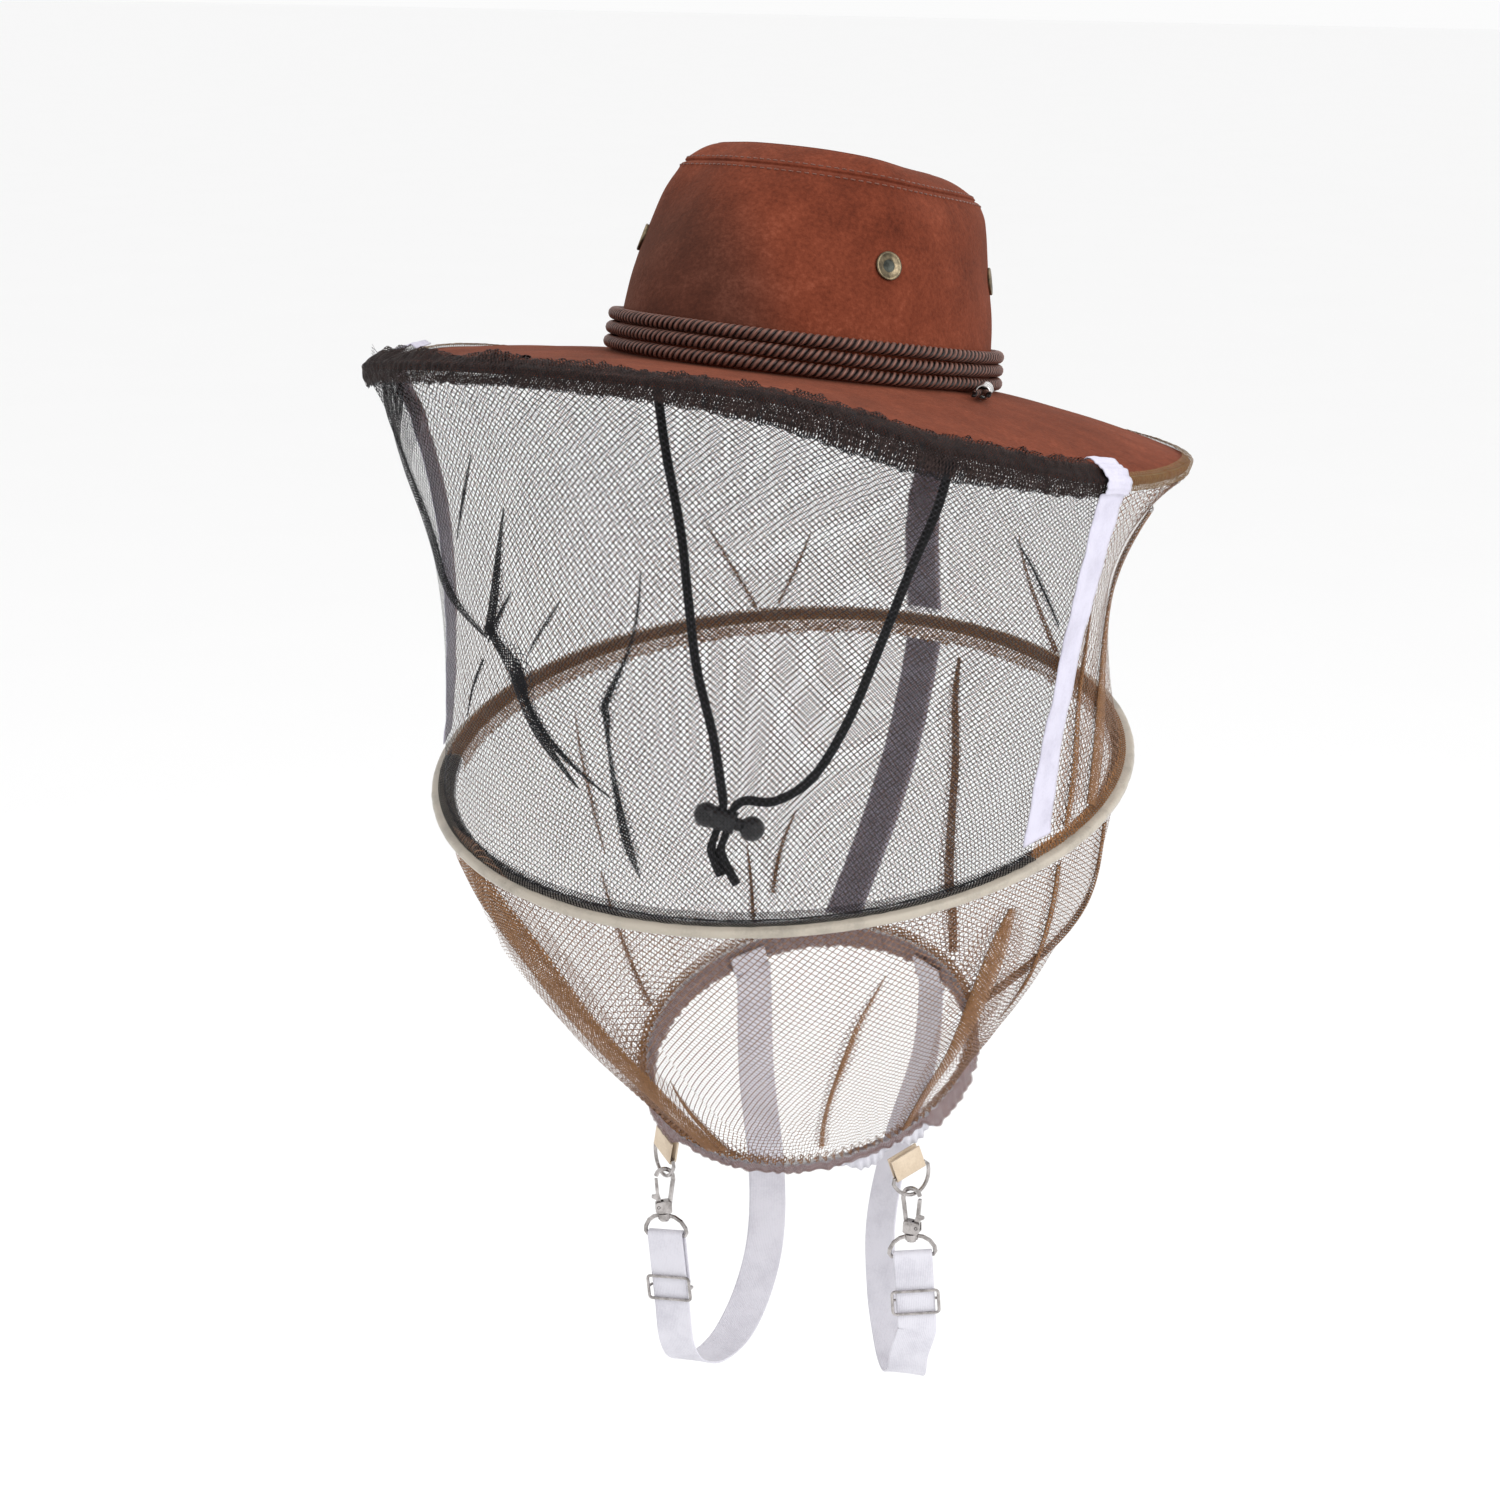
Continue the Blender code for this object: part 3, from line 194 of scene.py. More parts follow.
def smoothstep(low, high, value):
    """0 at low and 1 at high, with soft ends; low may be the larger."""
    t = min(1.0, max(0.0, (value - low) / (high - low)))
    return t * t * (3 - 2 * t)


def bell(value, middle, spread):
    """1 at the middle, falling to nearly 0 two spreads away."""
    t = (value - middle) / spread
    return math.exp(-t * t)


def wander(x, y=0.0, z=0.0):
    """Smooth fixed noise from -1 to 1."""
    return noise.noise(Vector((x, y, z)))


def between(table, angle):
    """Smooth closed interpolation of (heading, value) pairs round the hat."""
    angle %= 360
    count = len(table)
    for i in range(count):
        a0, v0 = table[i]
        a1, v1 = table[(i + 1) % count]
        if i == count - 1:
            a1 += 360
        if a0 <= angle <= a1:
            before = table[i - 1][1]
            after = table[(i + 2) % count][1]
            t = (angle - a0) / (a1 - a0)
            return 0.5 * (2 * v0 + (v1 - before) * t + (2 * before - 5 * v0 + 4 * v1 - after) * t * t
                          + (3 * v0 - before - 3 * v1 + after) * t ** 3)
    return table[0][1]


def smooth_route(points, per_span):
    """A smooth curve through given points, as a list of points."""
    out = []
    last = len(points) - 1
    for i in range(last):
        p0 = points[max(i - 1, 0)]
        p1 = points[i]
        p2 = points[i + 1]
        p3 = points[min(i + 2, last)]
        for k in range(per_span):
            t = k / per_span
            out.append(0.5 * (2 * p1 + (p2 - p0) * t + (2 * p0 - 5 * p1 + 4 * p2 - p3) * t * t
                              + (3 * p1 - p0 - 3 * p2 + p3) * t ** 3))
    out.append(points[-1].copy())
    return out


def even(points, step):
    """The same line with points a fixed step apart."""
    total = sum((b - a).length for a, b in zip(points, points[1:]))
    count = max(2, round(total / step))
    out = [points[0].copy()]
    want = total / count
    walked = 0.0
    for a, b in zip(points, points[1:]):
        span = (b - a).length
        while span > 0 and walked + span >= want * len(out) - 1e-12 and len(out) < count:
            out.append(a.lerp(b, (want * len(out) - walked) / span))
        walked += span
    out.append(points[-1].copy())
    return out


def line_length(points):
    return sum((b - a).length for a, b in zip(points, points[1:]))


def around(start, end, steps):
    """Evenly spaced numbers with both ends."""
    return [start + (end - start) * k / steps for k in range(steps + 1)]


def crown_height(angle):
    return CROWN_HEIGHT + CROWN_FRONT_RISE * math.cos(math.radians(angle))


def crown_point(angle, level, inset=0.0):
    """The CAD crown's wall at a heading, from level 0 at the brim to 1 at the top."""
    a = math.radians(angle)
    front = max(0.0, math.cos(a))
    rear = max(0.0, -math.cos(a))
    half_width = CROWN_HALF_WIDTH - CROWN_SIDE_TAPER * level ** 1.7
    taper = (CROWN_FRONT_TAPER * front + CROWN_REAR_TAPER * rear) * level ** 1.8
    half_length = CROWN_HALF_LENGTH - taper
    bend = math.remainder(abs(math.remainder(angle, 360)) - CROWN_PINCH_HEADING, 360) / 17
    pinch = CROWN_PINCH_DEPTH * math.exp(-bend * bend) * smoothstep(0.3, 1.0, level)
    shoulder = 0.006 * max(0.0, (level - 0.8) / 0.2) ** 2
    point = Vector((half_width * math.sin(a), -half_length * math.cos(a), 0))
    point -= point.normalized() * (inset + pinch + shoulder)
    point.z = level * crown_height(angle)
    return point


def brim_point(angle, share):
    """The brim's top, from share 0 at the crown to 1 at the edge."""
    inner = crown_point(angle, 0, CROWN_WALL)
    a = math.radians(angle)
    reach = BRIM_FRONT_REACH if math.cos(a) > 0 else BRIM_REAR_REACH
    width = BRIM_LEFT_REACH if math.sin(a) > 0 else BRIM_RIGHT_REACH
    outer = Vector((width * math.sin(a), -reach * math.cos(a), 0))
    point = inner.lerp(outer, share)
    point.z = -GAP - between(BRIM_DROOP, angle) * share ** 1.5
    return point


def brim_normal(angle, share):
    share = max(share, 0.03)
    outward = (brim_point(angle, share) - brim_point(angle, share - 0.03)).normalized()
    along = brim_point(angle + 1, share) - brim_point(angle - 1, share)
    return along.cross(-outward).normalized()


EDGES = {}


def edge_frame(angle):
    """The brim's edge with its outward and upward directions, in the world."""
    key = round(angle, 3)
    if key not in EDGES:
        along = (brim_point(angle + 1, 1) - brim_point(angle - 1, 1)).normalized()
        upward = brim_normal(angle, 1)
        outward = along.cross(upward)
        turn = HAT.to_3x3()
        EDGES[key] = (HAT @ brim_point(angle, 1), turn @ outward, turn @ upward)
    return EDGES[key]


def hoop_point(angle, out=0.0, up=0.0):
    return HOOP @ (heading(angle) * (HOOP_RADIUS + out) + Vector((0, 0, up)))


def neck_point(angle, out=0.0, up=0.0):
    return NECK @ (heading(angle) * (NECK_RADIUS + out) + Vector((0, 0, up)))


def brim_heading(angle):
    """The heading at the brim of the net that meets the hoop at this heading."""
    low = 0
    while low < 2 and angle > SEAMS_AT_HOOP[low + 1]:
        low += 1
    share = (angle - SEAMS_AT_HOOP[low]) / (SEAMS_AT_HOOP[low + 1] - SEAMS_AT_HOOP[low])
    return SEAMS_AT_BRIM[low] + (SEAMS_AT_BRIM[low + 1] - SEAMS_AT_BRIM[low]) * share


def veil_point(angle, share):
    """The upper veil: it tucks in under the brim, then falls to the hoop."""
    swing = angle + (brim_heading(angle) - angle) * (1 - share)
    edge, outward, upward = edge_frame(swing)
    top = edge + outward * 0.0005 - upward * NET_DROP
    foot = hoop_point(swing, -HOOP_NET_INSET, 0.0036)
    sharpness = between(NET_TUCK, angle)
    tuck = 1 - (1 - share) ** sharpness
    waist = 0.001 * sharpness * math.sin(math.pi * share)
    point = top.lerp(foot, tuck) - heading(swing) * waist
    point.z = top.z + (foot.z - top.z) * share
    return point


def skirt_point(angle, share):
    """The skirt, from share 0 at the hoop to 1 at the neck hem."""
    top = hoop_point(angle, -HOOP_NET_INSET, -0.0036)
    foot = neck_point(angle + NECK_FRONT_HEADING, 0, HEM_HEIGHT / 2 + GAP + 0.0008)
    bow = 0.017 * math.sin(math.pi * share)
    return top.lerp(foot, share) + heading(angle) * bow


def surface_frame(surface, angle, share):
    """A point on the surface with its along, down and outward directions."""
    along = surface(angle + 0.5, share) - surface(angle - 0.5, share)
    down = surface(angle, min(share + 0.02, 1)) - surface(angle, max(share - 0.02, 0))
    along.normalize()
    down.normalize()
    return surface(angle, share), along, down, down.cross(along).normalized()


# ---- mesh building --------------------------------------------------------------------------
class Shell:
    """Collects grids of quads, with UVs in metres, and makes one mesh of them."""

    def __init__(self):
        self.verts = []
        self.faces = []
        self.uvs = []
        self.slots = []

    def grid(self, rows, across=None, along=None, wrap_u=False, wrap_v=False, slot=0):
        """rows[i][j]; across and along give the UV of column i and row j, or are measured."""
        nu = len(rows)
        nv = len(rows[0])
        base = len(self.verts)
        for row in rows:
            self.verts.extend(row)
        if across is None:
            across = self.lengths([row[nv // 2] for row in rows], wrap_u)
        if along is None:
            along = self.lengths(rows[nu // 2], wrap_v)
        for i in range(nu if wrap_u else nu - 1):
            i2 = (i + 1) % nu
            for j in range(nv if wrap_v else nv - 1):
                j2 = (j + 1) % nv
                self.faces.append((base + i * nv + j, base + i2 * nv + j,
                                   base + i2 * nv + j2, base + i * nv + j2))
                self.uvs += [(across[i], along[j]), (across[i + 1], along[j]),
                             (across[i + 1], along[j + 1]), (across[i], along[j + 1])]
                self.slots.append(slot(i, j) if callable(slot) else slot)

    def lengths(self, line, wrap):
        out = [0.0]
        for a, b in zip(line, line[1:] + line[:1] if wrap else line[1:]):
            out.append(out[-1] + (b - a).length)
        return out

    def fan(self, ring, middle, slot=0):
        base = len(self.verts)
        self.verts.extend(list(ring) + [middle])
        count = len(ring)
        for k in range(count):
            m = (k + 1) % count
            self.faces.append((base + k, base + m, base + count))
            self.uvs += [(0, 0), (0.001, 0), (0, 0.001)]
            self.slots.append(slot)

    def make(self, name, *looks, smooth=True, body=None, replaces=(), slot_name=None):
        mesh = bpy.data.meshes.new(name)
        mesh.from_pydata(self.verts, [], self.faces)
        layer = mesh.uv_layers.new(name="metres")
        layer.data.foreach_set("uv", [c for pair in self.uvs for c in pair])
        mesh.polygons.foreach_set("material_index", self.slots)
        mesh.polygons.foreach_set("use_smooth", [smooth] * len(self.faces))
        for look in looks:
            mesh.materials.append(look)
        mesh.update()
        obj = bpy.data.objects.new(name, mesh)
        bpy.context.scene.collection.objects.link(obj)
        if replaces:
            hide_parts(*replaces)
        if body:
            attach(obj, body)
        return obj


def frames(path, closed=False, side=None):
    """Tangent and sideways direction at each point of a path."""
    count = len(path)
    out = []
    for i in range(count):
        if closed:
            tangent = path[(i + 1) % count] - path[i - 1]
        else:
            tangent = path[min(i + 1, count - 1)] - path[max(i - 1, 0)]
        tangent.normalize()
        if callable(side):
            guide = side(i)
        elif side is not None:
            guide = side
        else:
            guide = out[-1][1] if out else tangent.orthogonal()
        across = (guide - tangent * guide.dot(tangent)).normalized()
        out.append((tangent, across, tangent.cross(across)))
    return out


def tube_rows(path, radius, sides, closed=False, side=None):
    """Rings round a path; radius is a number or a function of (step, turn)."""
    rows = []
    for i, (_, across, up) in enumerate(frames(path, closed, side)):
        ring = []
        for k in range(sides):
            turn = math.tau * k / sides
            r = radius(i, turn) if callable(radius) else radius
            ring.append(path[i] + across * (r * math.cos(turn)) + up * (r * math.sin(turn)))
        rows.append(ring)
    return rows


def add_capped(shell, rows, first, last):
    """A tube from its rings, with both ends closed."""
    shell.grid(rows, wrap_v=True)
    shell.fan(rows[0][::-1], first)
    shell.fan(rows[-1], last)


def turned_rows(profile, steps, matrix):
    """A profile of (radius, height) turned round the matrix's own Z."""
    rows = []
    for k in range(steps):
        a = math.tau * k / steps
        rows.append([matrix @ Vector((r * math.cos(a), r * math.sin(a), z)) for r, z in profile])
    return rows


def rounded(outline, per_span=4):
    """A flat outline with its corners smoothed."""
    return [(p.x, p.y) for p in smooth_route([Vector((x, y, 0)) for x, y in outline], per_span)]


def solidify(obj, thickness, offset=-1.0):
    """Gives a sheet its thickness, inwards unless told otherwise."""
    modifier = obj.modifiers.new("thickness", "SOLIDIFY")
    modifier.thickness = thickness
    modifier.offset = offset


# ---- materials --------------------------------------------------------------------------------
class Look:
    """A node material built up by small calls."""

    def __init__(self, name, colour, roughness, metallic=0.0):
        self.mat = bpy.data.materials.new(name)
        self.mat.use_nodes = True
        self.tree = self.mat.node_tree
        self.shader = self.tree.nodes["Principled BSDF"]
        self.set("Base Color", (*colour, 1))
        self.set("Roughness", roughness)
        self.set("Metallic", metallic)

    def set(self, name, value):
        self.shader.inputs[name].default_value = value

    def node(self, kind, *links, **values):
        made = self.tree.nodes.new(kind)
        for key, value in values.items():
            setattr(made, key, value)
        for index, source in links:
            if isinstance(source, bpy.types.NodeSocket):
                self.tree.links.new(source, made.inputs[index])
            else:
                made.inputs[index].default_value = source
        return made

    def math(self, operation, a, b=0.0, c=0.0):
        return self.node("ShaderNodeMath", (0, a), (1, b), (2, c), operation=operation).outputs[0]

    def plus(self, a, b):
        return self.math("ADD", a, b)

    def minus(self, a, b):
        return self.math("SUBTRACT", a, b)

    def times(self, a, b):
        return self.math("MULTIPLY", a, b)

    def zigzag(self, value):
        """Climbs from 0 to 0.5 and back, once for each whole number."""
        return self.math("PINGPONG", value, 0.5)

    def place(self):
        return self.node("ShaderNodeTexCoord").outputs["Object"]

    def uv(self):
        split = self.node("ShaderNodeSeparateXYZ", (0, self.node("ShaderNodeUVMap", uv_map="metres").outputs[0]))
        return split.outputs[0], split.outputs[1]

    def vector(self, x, y):
        return self.node("ShaderNodeCombineXYZ", (0, x), (1, y)).outputs[0]

    def noise(self, vector, scale, detail=2.0, roughness=0.5):
        made = self.node("ShaderNodeTexNoise", ("Vector", vector), ("Scale", scale), ("Detail", detail),
                         ("Roughness", roughness))
        return made.outputs["Fac"]

    def ramp(self, value, stops):
        made = self.node("ShaderNodeValToRGB", (0, value))
        elements = made.color_ramp.elements
        while len(elements) < len(stops):
            elements.new(0.5)
        for element, (place, colour) in zip(elements, stops):
            element.position = place
            element.color = (*colour, 1)
        return made.outputs[0]

    def mix(self, share, a, b):
        made = self.node("ShaderNodeMix", (0, share), data_type="RGBA")
        for index, source in ((6, a), (7, b)):
            if isinstance(source, bpy.types.NodeSocket):
                self.tree.links.new(source, made.inputs[index])
            else:
                made.inputs[index].default_value = (*source, 1)
        return made.outputs[2]

    def link(self, source, name):
        self.tree.links.new(source, self.shader.inputs[name])

    def bump(self, height, distance, strength=1.0):
        made = self.node("ShaderNodeBump", ("Height", height), ("Distance", distance), ("Strength", strength))
        self.link(made.outputs[0], "Normal")


def suede_look():
    """Brushed nap: mottled, with painted shade darkening the front of the crown."""
    look = Look("suede", (0.2, 0.05, 0.028), 0.95)
    place = look.place()
    broad = look.noise(place, 16, 3)
    patch = look.noise(place, 70, 4, 0.6)
    nap = look.noise(place, 480, 3, 0.7)
    value = look.plus(look.times(broad, 0.34), look.times(patch, 0.28))
    value = look.plus(value, look.times(nap, 0.38))
    split = look.node("ShaderNodeSeparateXYZ", (0, place))
    # Painted shade: the front of the crown, above its lowest 2 cm, is mixed most of the way to a darker ramp in
    # place of the shade that falls there.
    forward = look.minus(look.times(split.outputs[1], -1.0), look.times(split.outputs[0], 0.55))
    front_shade_mask = look.node("ShaderNodeMapRange", (0, forward), (1, 0.052), (2, 0.088), (3, 0.0), (4, 1.0),
                       interpolation_type="SMOOTHSTEP").outputs[0]
    above = look.node("ShaderNodeMapRange", (0, split.outputs[2]), (1, 0.020), (2, 0.032), (3, 0.0), (4, 1.0),
                      interpolation_type="SMOOTHSTEP").outputs[0]
    shade = look.times(look.times(front_shade_mask, above), 0.75)
    colour = look.ramp(value, [(0.30, (0.070, 0.0155, 0.0085)), (0.46, (0.135, 0.0300, 0.0150)),
                               (0.56, (0.185, 0.0430, 0.0215)), (0.72, (0.30, 0.0850, 0.0470))])
    # the darker ramp used for the painted shade on the crown's front
    front_shade_colour = look.ramp(value, [(0.30, (0.030, 0.0115, 0.0085)), (0.50, (0.062, 0.0240, 0.0165)),
                             (0.72, (0.13, 0.0560, 0.0400))])
    look.link(look.mix(shade, colour, front_shade_colour), "Base Color")
    look.set("Sheen Weight", 0.08)
    look.set("Sheen Roughness", 0.5)
    look.set("Sheen Tint", (1.0, 0.62, 0.45, 1))
    look.set("Specular IOR Level", 0.08)
    fine = look.noise(place, 1400, 2, 0.6)
    look.bump(look.plus(look.times(nap, 0.8), look.times(fine, 0.5)), 0.0006, 0.8)
    return look.mat


def net_look(name, dark, light, pitch, cover, streaks=0.3):
    """Open net: slanting threads in two directions, with holes you see through.

    cover is the share of the cloth that is thread, and streaks is how much that share varies.
    """
    look = Look(name, dark, 0.6)
    x, y = look.uv()
    drift = look.noise(look.vector(look.times(x, 30.0), look.times(y, 30.0)), 1.0, 2)
    drift = look.times(look.minus(drift, 0.5), 0.4)
    sine = math.sin(math.radians(NET_SLANT)) / pitch
    cosine = math.cos(math.radians(NET_SLANT)) / pitch
    across = look.plus(look.times(x, cosine), look.times(y, sine))
    along = look.minus(look.times(y, cosine), look.times(x, sine))
    across = look.zigzag(look.plus(across, drift))
    along = look.zigzag(look.minus(along, drift))
    streak_across = look.times(look.plus(x, look.times(y, 0.6)), 95.0)
    streak_along = look.times(look.minus(y, look.times(x, 0.6)), 14.0)
    streak = look.noise(look.vector(streak_across, streak_along), 1.0, 3)
    half = (1 - math.sqrt(1 - cover)) / 2
    width = look.math("MULTIPLY_ADD", look.minus(streak, 0.5), 2 * streaks * half, half)
    look.link(look.math("LESS_THAN", look.math("MINIMUM", across, along), width), "Alpha")
    # Painted highlight: the thread crossings are painted lighter, mixed with random thread tone from the noise.
    knot_highlight = look.minus(1.0, look.times(look.math("MAXIMUM", across, along), 2.0))
    shade = look.noise(look.vector(look.times(x, 260.0), look.times(y, 260.0)), 1.0, 2)
    tone = look.plus(look.times(knot_highlight, 0.4), look.times(shade, 0.8))
    look.link(look.ramp(tone, [(0.25, dark), (0.95, light)]), "Base Color")
    look.set("Specular IOR Level", 0.12)
    return look.mat


def woven_look(name, colour, dark, roughness, pitch, sheen=0.3, across_only=False, depth=0.00012):
    """Close weave or satin: fine ribs with painted shade in their hollows, a soft sheen and slight soiling."""
    look = Look(name, colour, roughness)
    x, y = look.uv()
    ribs = look.zigzag(look.times(y, 1 / pitch))
    if across_only:
        height = ribs
    else:
        threads = look.zigzag(look.times(x, 1 / pitch))
        height = look.math("MAXIMUM", ribs, threads)
    cloudy = look.noise(look.place(), 55, 3, 0.6)
    fine = look.noise(look.place(), 900, 2, 0.6)
    value = look.plus(look.times(cloudy, 0.75), look.times(fine, 0.25))
    # Painted shade: the rib height lightens the crowns and darkens the hollows between them.
    value = look.plus(look.times(height, 0.25), value)
    look.link(look.ramp(value, [(0.38, dark), (0.62, colour)]), "Base Color")
    look.set("Sheen Weight", sheen)
    look.set("Sheen Roughness", 0.3)
    look.set("Specular IOR Level", 0.35)
    look.link(look.plus(look.times(cloudy, 0.25), roughness - 0.12), "Roughness")
    look.bump(look.plus(height, look.times(fine, 0.6)), depth, 0.6)
    return look.mat


def metal_look(name, colour, dark, roughness):
    """Metal with darker patches and a slightly uneven shine."""
    look = Look(name, colour, roughness, 1.0)
    place = look.place()
    cloudy = look.noise(place, 220, 3, 0.6)
    look.link(look.ramp(cloudy, [(0.35, dark), (0.62, colour)]), "Base Color")
    look.link(look.plus(look.times(look.noise(place, 1400, 2), 0.22), roughness - 0.1), "Roughness")
    look.bump(look.noise(place, 900, 2), 0.00005, 0.4)
    return look.mat


def cord_look(name, dark, light, roughness, frequency, start=0.3, end=0.8):
    """Waxed or braided cord: a painted highlight along the crowns of the strands, painted shade between them."""
    look = Look(name, dark, roughness)
    x, y = look.uv()
    # Painted highlight and shade: the tone peaks on each strand's crown and falls to dark in the grooves.
    strand_highlight = look.zigzag(look.times(y, frequency))
    fibre = look.noise(look.vector(look.times(x, 300.0), look.times(y, 2600.0)), 1.0, 3)
    tone = look.plus(look.times(strand_highlight, 1.2), look.times(fibre, 0.45))
    look.link(look.ramp(tone, [(start, dark), (end, light)]), "Base Color")
    look.set("Specular IOR Level", 0.25)
    look.bump(fibre, 0.0002, 0.5)
    return look.mat


def plastic_look(name, colour, roughness):
    """Moulded plastic with a fine grain, worn shinier in places."""
    look = Look(name, colour, roughness)
    place = look.place()
    wear = look.noise(place, 120, 3)
    look.link(look.plus(look.times(wear, 0.3), roughness - 0.12), "Roughness")
    look.link(look.ramp(look.noise(place, 700, 2), [(0.3, colour), (0.8, tuple(c * 2.2 for c in colour))]),
              "Base Color")
    look.bump(look.noise(place, 1800, 2), 0.00004, 0.5)
    return look.mat


SUEDE = suede_look()
BLACK_NET = net_look("black_net", (0.006, 0.006, 0.007), (0.05, 0.05, 0.055), 0.0023, 0.29)
BLACK_FOLD = net_look("black_net_folded", (0.004, 0.004, 0.005), (0.022, 0.022, 0.025), 0.0012, 0.64)
BLACK_GATHER = net_look("black_net_gathered", (0.006, 0.0038, 0.0036), (0.052, 0.033, 0.030), 0.0016, 0.52, 0.7)
# Partly painted shade: the seam allowance net is mauve-grey so that it darkens the rear seam tape seen from inside
# the veil.
SEAM_NET_AND_SHADE = net_look("seam_allowance_and_shade", (0.085, 0.072, 0.085), (0.28, 0.25, 0.29), 0.0014, 0.44, 0.4)
BROWN_NET = net_look("brown_net", (0.085, 0.042, 0.026), (0.32, 0.18, 0.11), 0.0025, 0.29)
BROWN_FOLD = net_look("brown_net_folded", (0.14, 0.064, 0.027), (0.36, 0.185, 0.085), 0.0016, 0.66, 0.4)
BROWN_GATHER = net_look("brown_net_gathered", (0.15, 0.095, 0.092), (0.42, 0.30, 0.29), 0.0014, 0.44, 0.5)
OLIVE_GATHER = net_look("brown_net_over_brim", (0.11, 0.060, 0.022), (0.30, 0.18, 0.075), 0.0016, 0.55, 0.5)
WHITE_TAPE = woven_look("white_satin", (0.63, 0.61, 0.72), (0.50, 0.48, 0.58), 0.42, 0.0004, 0.25)
CREAM_TAPE = woven_look("cream_satin", (0.48, 0.43, 0.36), (0.30, 0.27, 0.225), 0.36, 0.0004, 0.3)
BEIGE_WEB = woven_look("beige_webbing", (0.72, 0.60, 0.46), (0.56, 0.45, 0.33), 0.7, 0.0009, 0.2, depth=0.0003)
ELASTIC = woven_look("white_elastic", (0.70, 0.69, 0.75), (0.56, 0.55, 0.61), 0.6, 0.0009, 0.2, True, 0.0003)
THREAD = woven_look("stitch_thread", (0.17, 0.064, 0.042), (0.10, 0.038, 0.026), 0.6, 0.0005, 0.3)
LINING = woven_look("sweatband_cloth", (0.055, 0.030, 0.022), (0.03, 0.016, 0.012), 0.85, 0.0007, 0.1)
NICKEL = metal_look("nickel", (0.50, 0.47, 0.46), (0.27, 0.25, 0.24), 0.24)
SILVER = metal_look("silver_ferrule", (0.85, 0.84, 0.83), (0.35, 0.33, 0.32), 0.2)
BRASS = metal_look("antique_brass", (0.24, 0.19, 0.12), (0.075, 0.062, 0.042), 0.36)
EYELET_HOLE_SHADE = metal_look("eyelet_shade", (0.07, 0.075, 0.065), (0.025, 0.027, 0.024), 0.5)
STEEL = metal_look("spring_steel", (0.55, 0.55, 0.56), (0.4, 0.4, 0.4), 0.3)
# the band cord's copper tone is the painted highlight on the plies' crowns
BAND_CORD = cord_look("band_cord", (0.006, 0.003, 0.003), (0.42, 0.19, 0.14), 0.42, 100.0, 0.66, 1.0)
BLACK_CORD = cord_look("black_cord", (0.003, 0.003, 0.003), (0.014, 0.014, 0.015), 0.75, 700.0)
BLACK_PLASTIC = plastic_look("black_plastic", (0.012, 0.012, 0.013), 0.4)


# ---- camera, light and floor ------------------------------------------------------------------
def set_stage():
    scene = bpy.context.scene
    scene.view_settings.view_transform = "Standard"
    data = bpy.data.cameras.new("camera")
    data.lens = CAMERA_LENS
    data.sensor_width = 36
    camera = bpy.data.objects.new("camera", data)
    camera.location = CAMERA_PLACE
    camera.rotation_euler = (math.radians(90 - CAMERA_LOOKS_DOWN), 0, math.radians(CAMERA_TURN))
    scene.collection.objects.link(camera)
    scene.camera = camera

    world = bpy.data.worlds.new("studio")
    world.use_nodes = True
    background = world.node_tree.nodes["Background"]
    background.inputs[0].default_value = (1.0, 1.0, 1.0, 1)
    background.inputs[1].default_value = 0.97
    scene.world = world
    for name, place, target, size, energy in STUDIO_LAMPS:
        lamp = bpy.data.lights.new(name, "AREA")
        lamp.size = size
        lamp.energy = energy
        obj = bpy.data.objects.new(name, lamp)
        obj.location = place
        obj.rotation_euler = (Vector(target) - Vector(place)).to_track_quat("-Z", "Y").to_euler()
        scene.collection.objects.link(obj)

    mesh = bpy.data.meshes.new("floor")
    corners = [(x * FLOOR_REACH, y * FLOOR_REACH, FLOOR_LEVEL) for x, y in ((-1, -1), (1, -1), (1, 1), (-1, 1))]
    mesh.from_pydata(corners, [], [(0, 1, 2, 3)])
    floor_look = Look("floor", (0.96, 0.96, 0.96), 0.9)
    floor_look.link(floor_look.ramp(floor_look.noise(floor_look.place(), 3, 2),
                                    [(0.0, (0.955, 0.955, 0.955)), (1.0, (0.97, 0.97, 0.97))]), "Base Color")
    mesh.materials.append(floor_look.mat)
    floor = bpy.data.objects.new("floor", mesh)
    scene.collection.objects.link(floor)


# ---- chin cords -------------------------------------------------------------------------------
def build_chin_cords():
    """Braided cords that narrow where the toggle grips them, as far as it slides."""
    cords = []
    for name, spot in (("chin_cord_right", -CORD_SPACING), ("chin_cord_left", 0.0)):
        route = [Vector(p) for p in CHIN_ROUTES[name]]
        for drop in (-0.0065, 0, 0.0080, 0.0160):
            route.append(TOGGLE @ Vector((spot, 0, -drop)))
        bend = route[-1].copy()
        for step in TAILS[name]:
            route.append(bend + Vector(step))
        path = even(smooth_route(route, 8), CORD_STEP)
        gripped = TOGGLE @ Vector((spot, 0, -TOGGLE_TRAVEL / 2))

        def braid(i, turn):
            lay = i * CORD_STEP * math.tau / BRAID_LAY
            knit = abs(math.sin(3 * turn + lay)) * abs(math.sin(3 * turn - lay))
            grip = 0.20 * smoothstep(0.0130, 0.0095, (path[i] - gripped).length)
            return CORD_RADIUS * (0.94 - grip + 0.24 * knit + 0.06 * wander(i * 0.19, turn * 2, spot * 900))

        shell = Shell()
        add_capped(shell, tube_rows(path, braid, 18), path[0], path[-1])
        cord = shell.make(name + "_braid", BLACK_CORD, body="hat", replaces=(name,), slot_name="black_cord")
        cords.append((cord, path))
    for cord, path in cords:
        tuple(path[0])
        round(line_length(path), 3)
        [tuple(p) for p in path[::6] + path[-1:]]


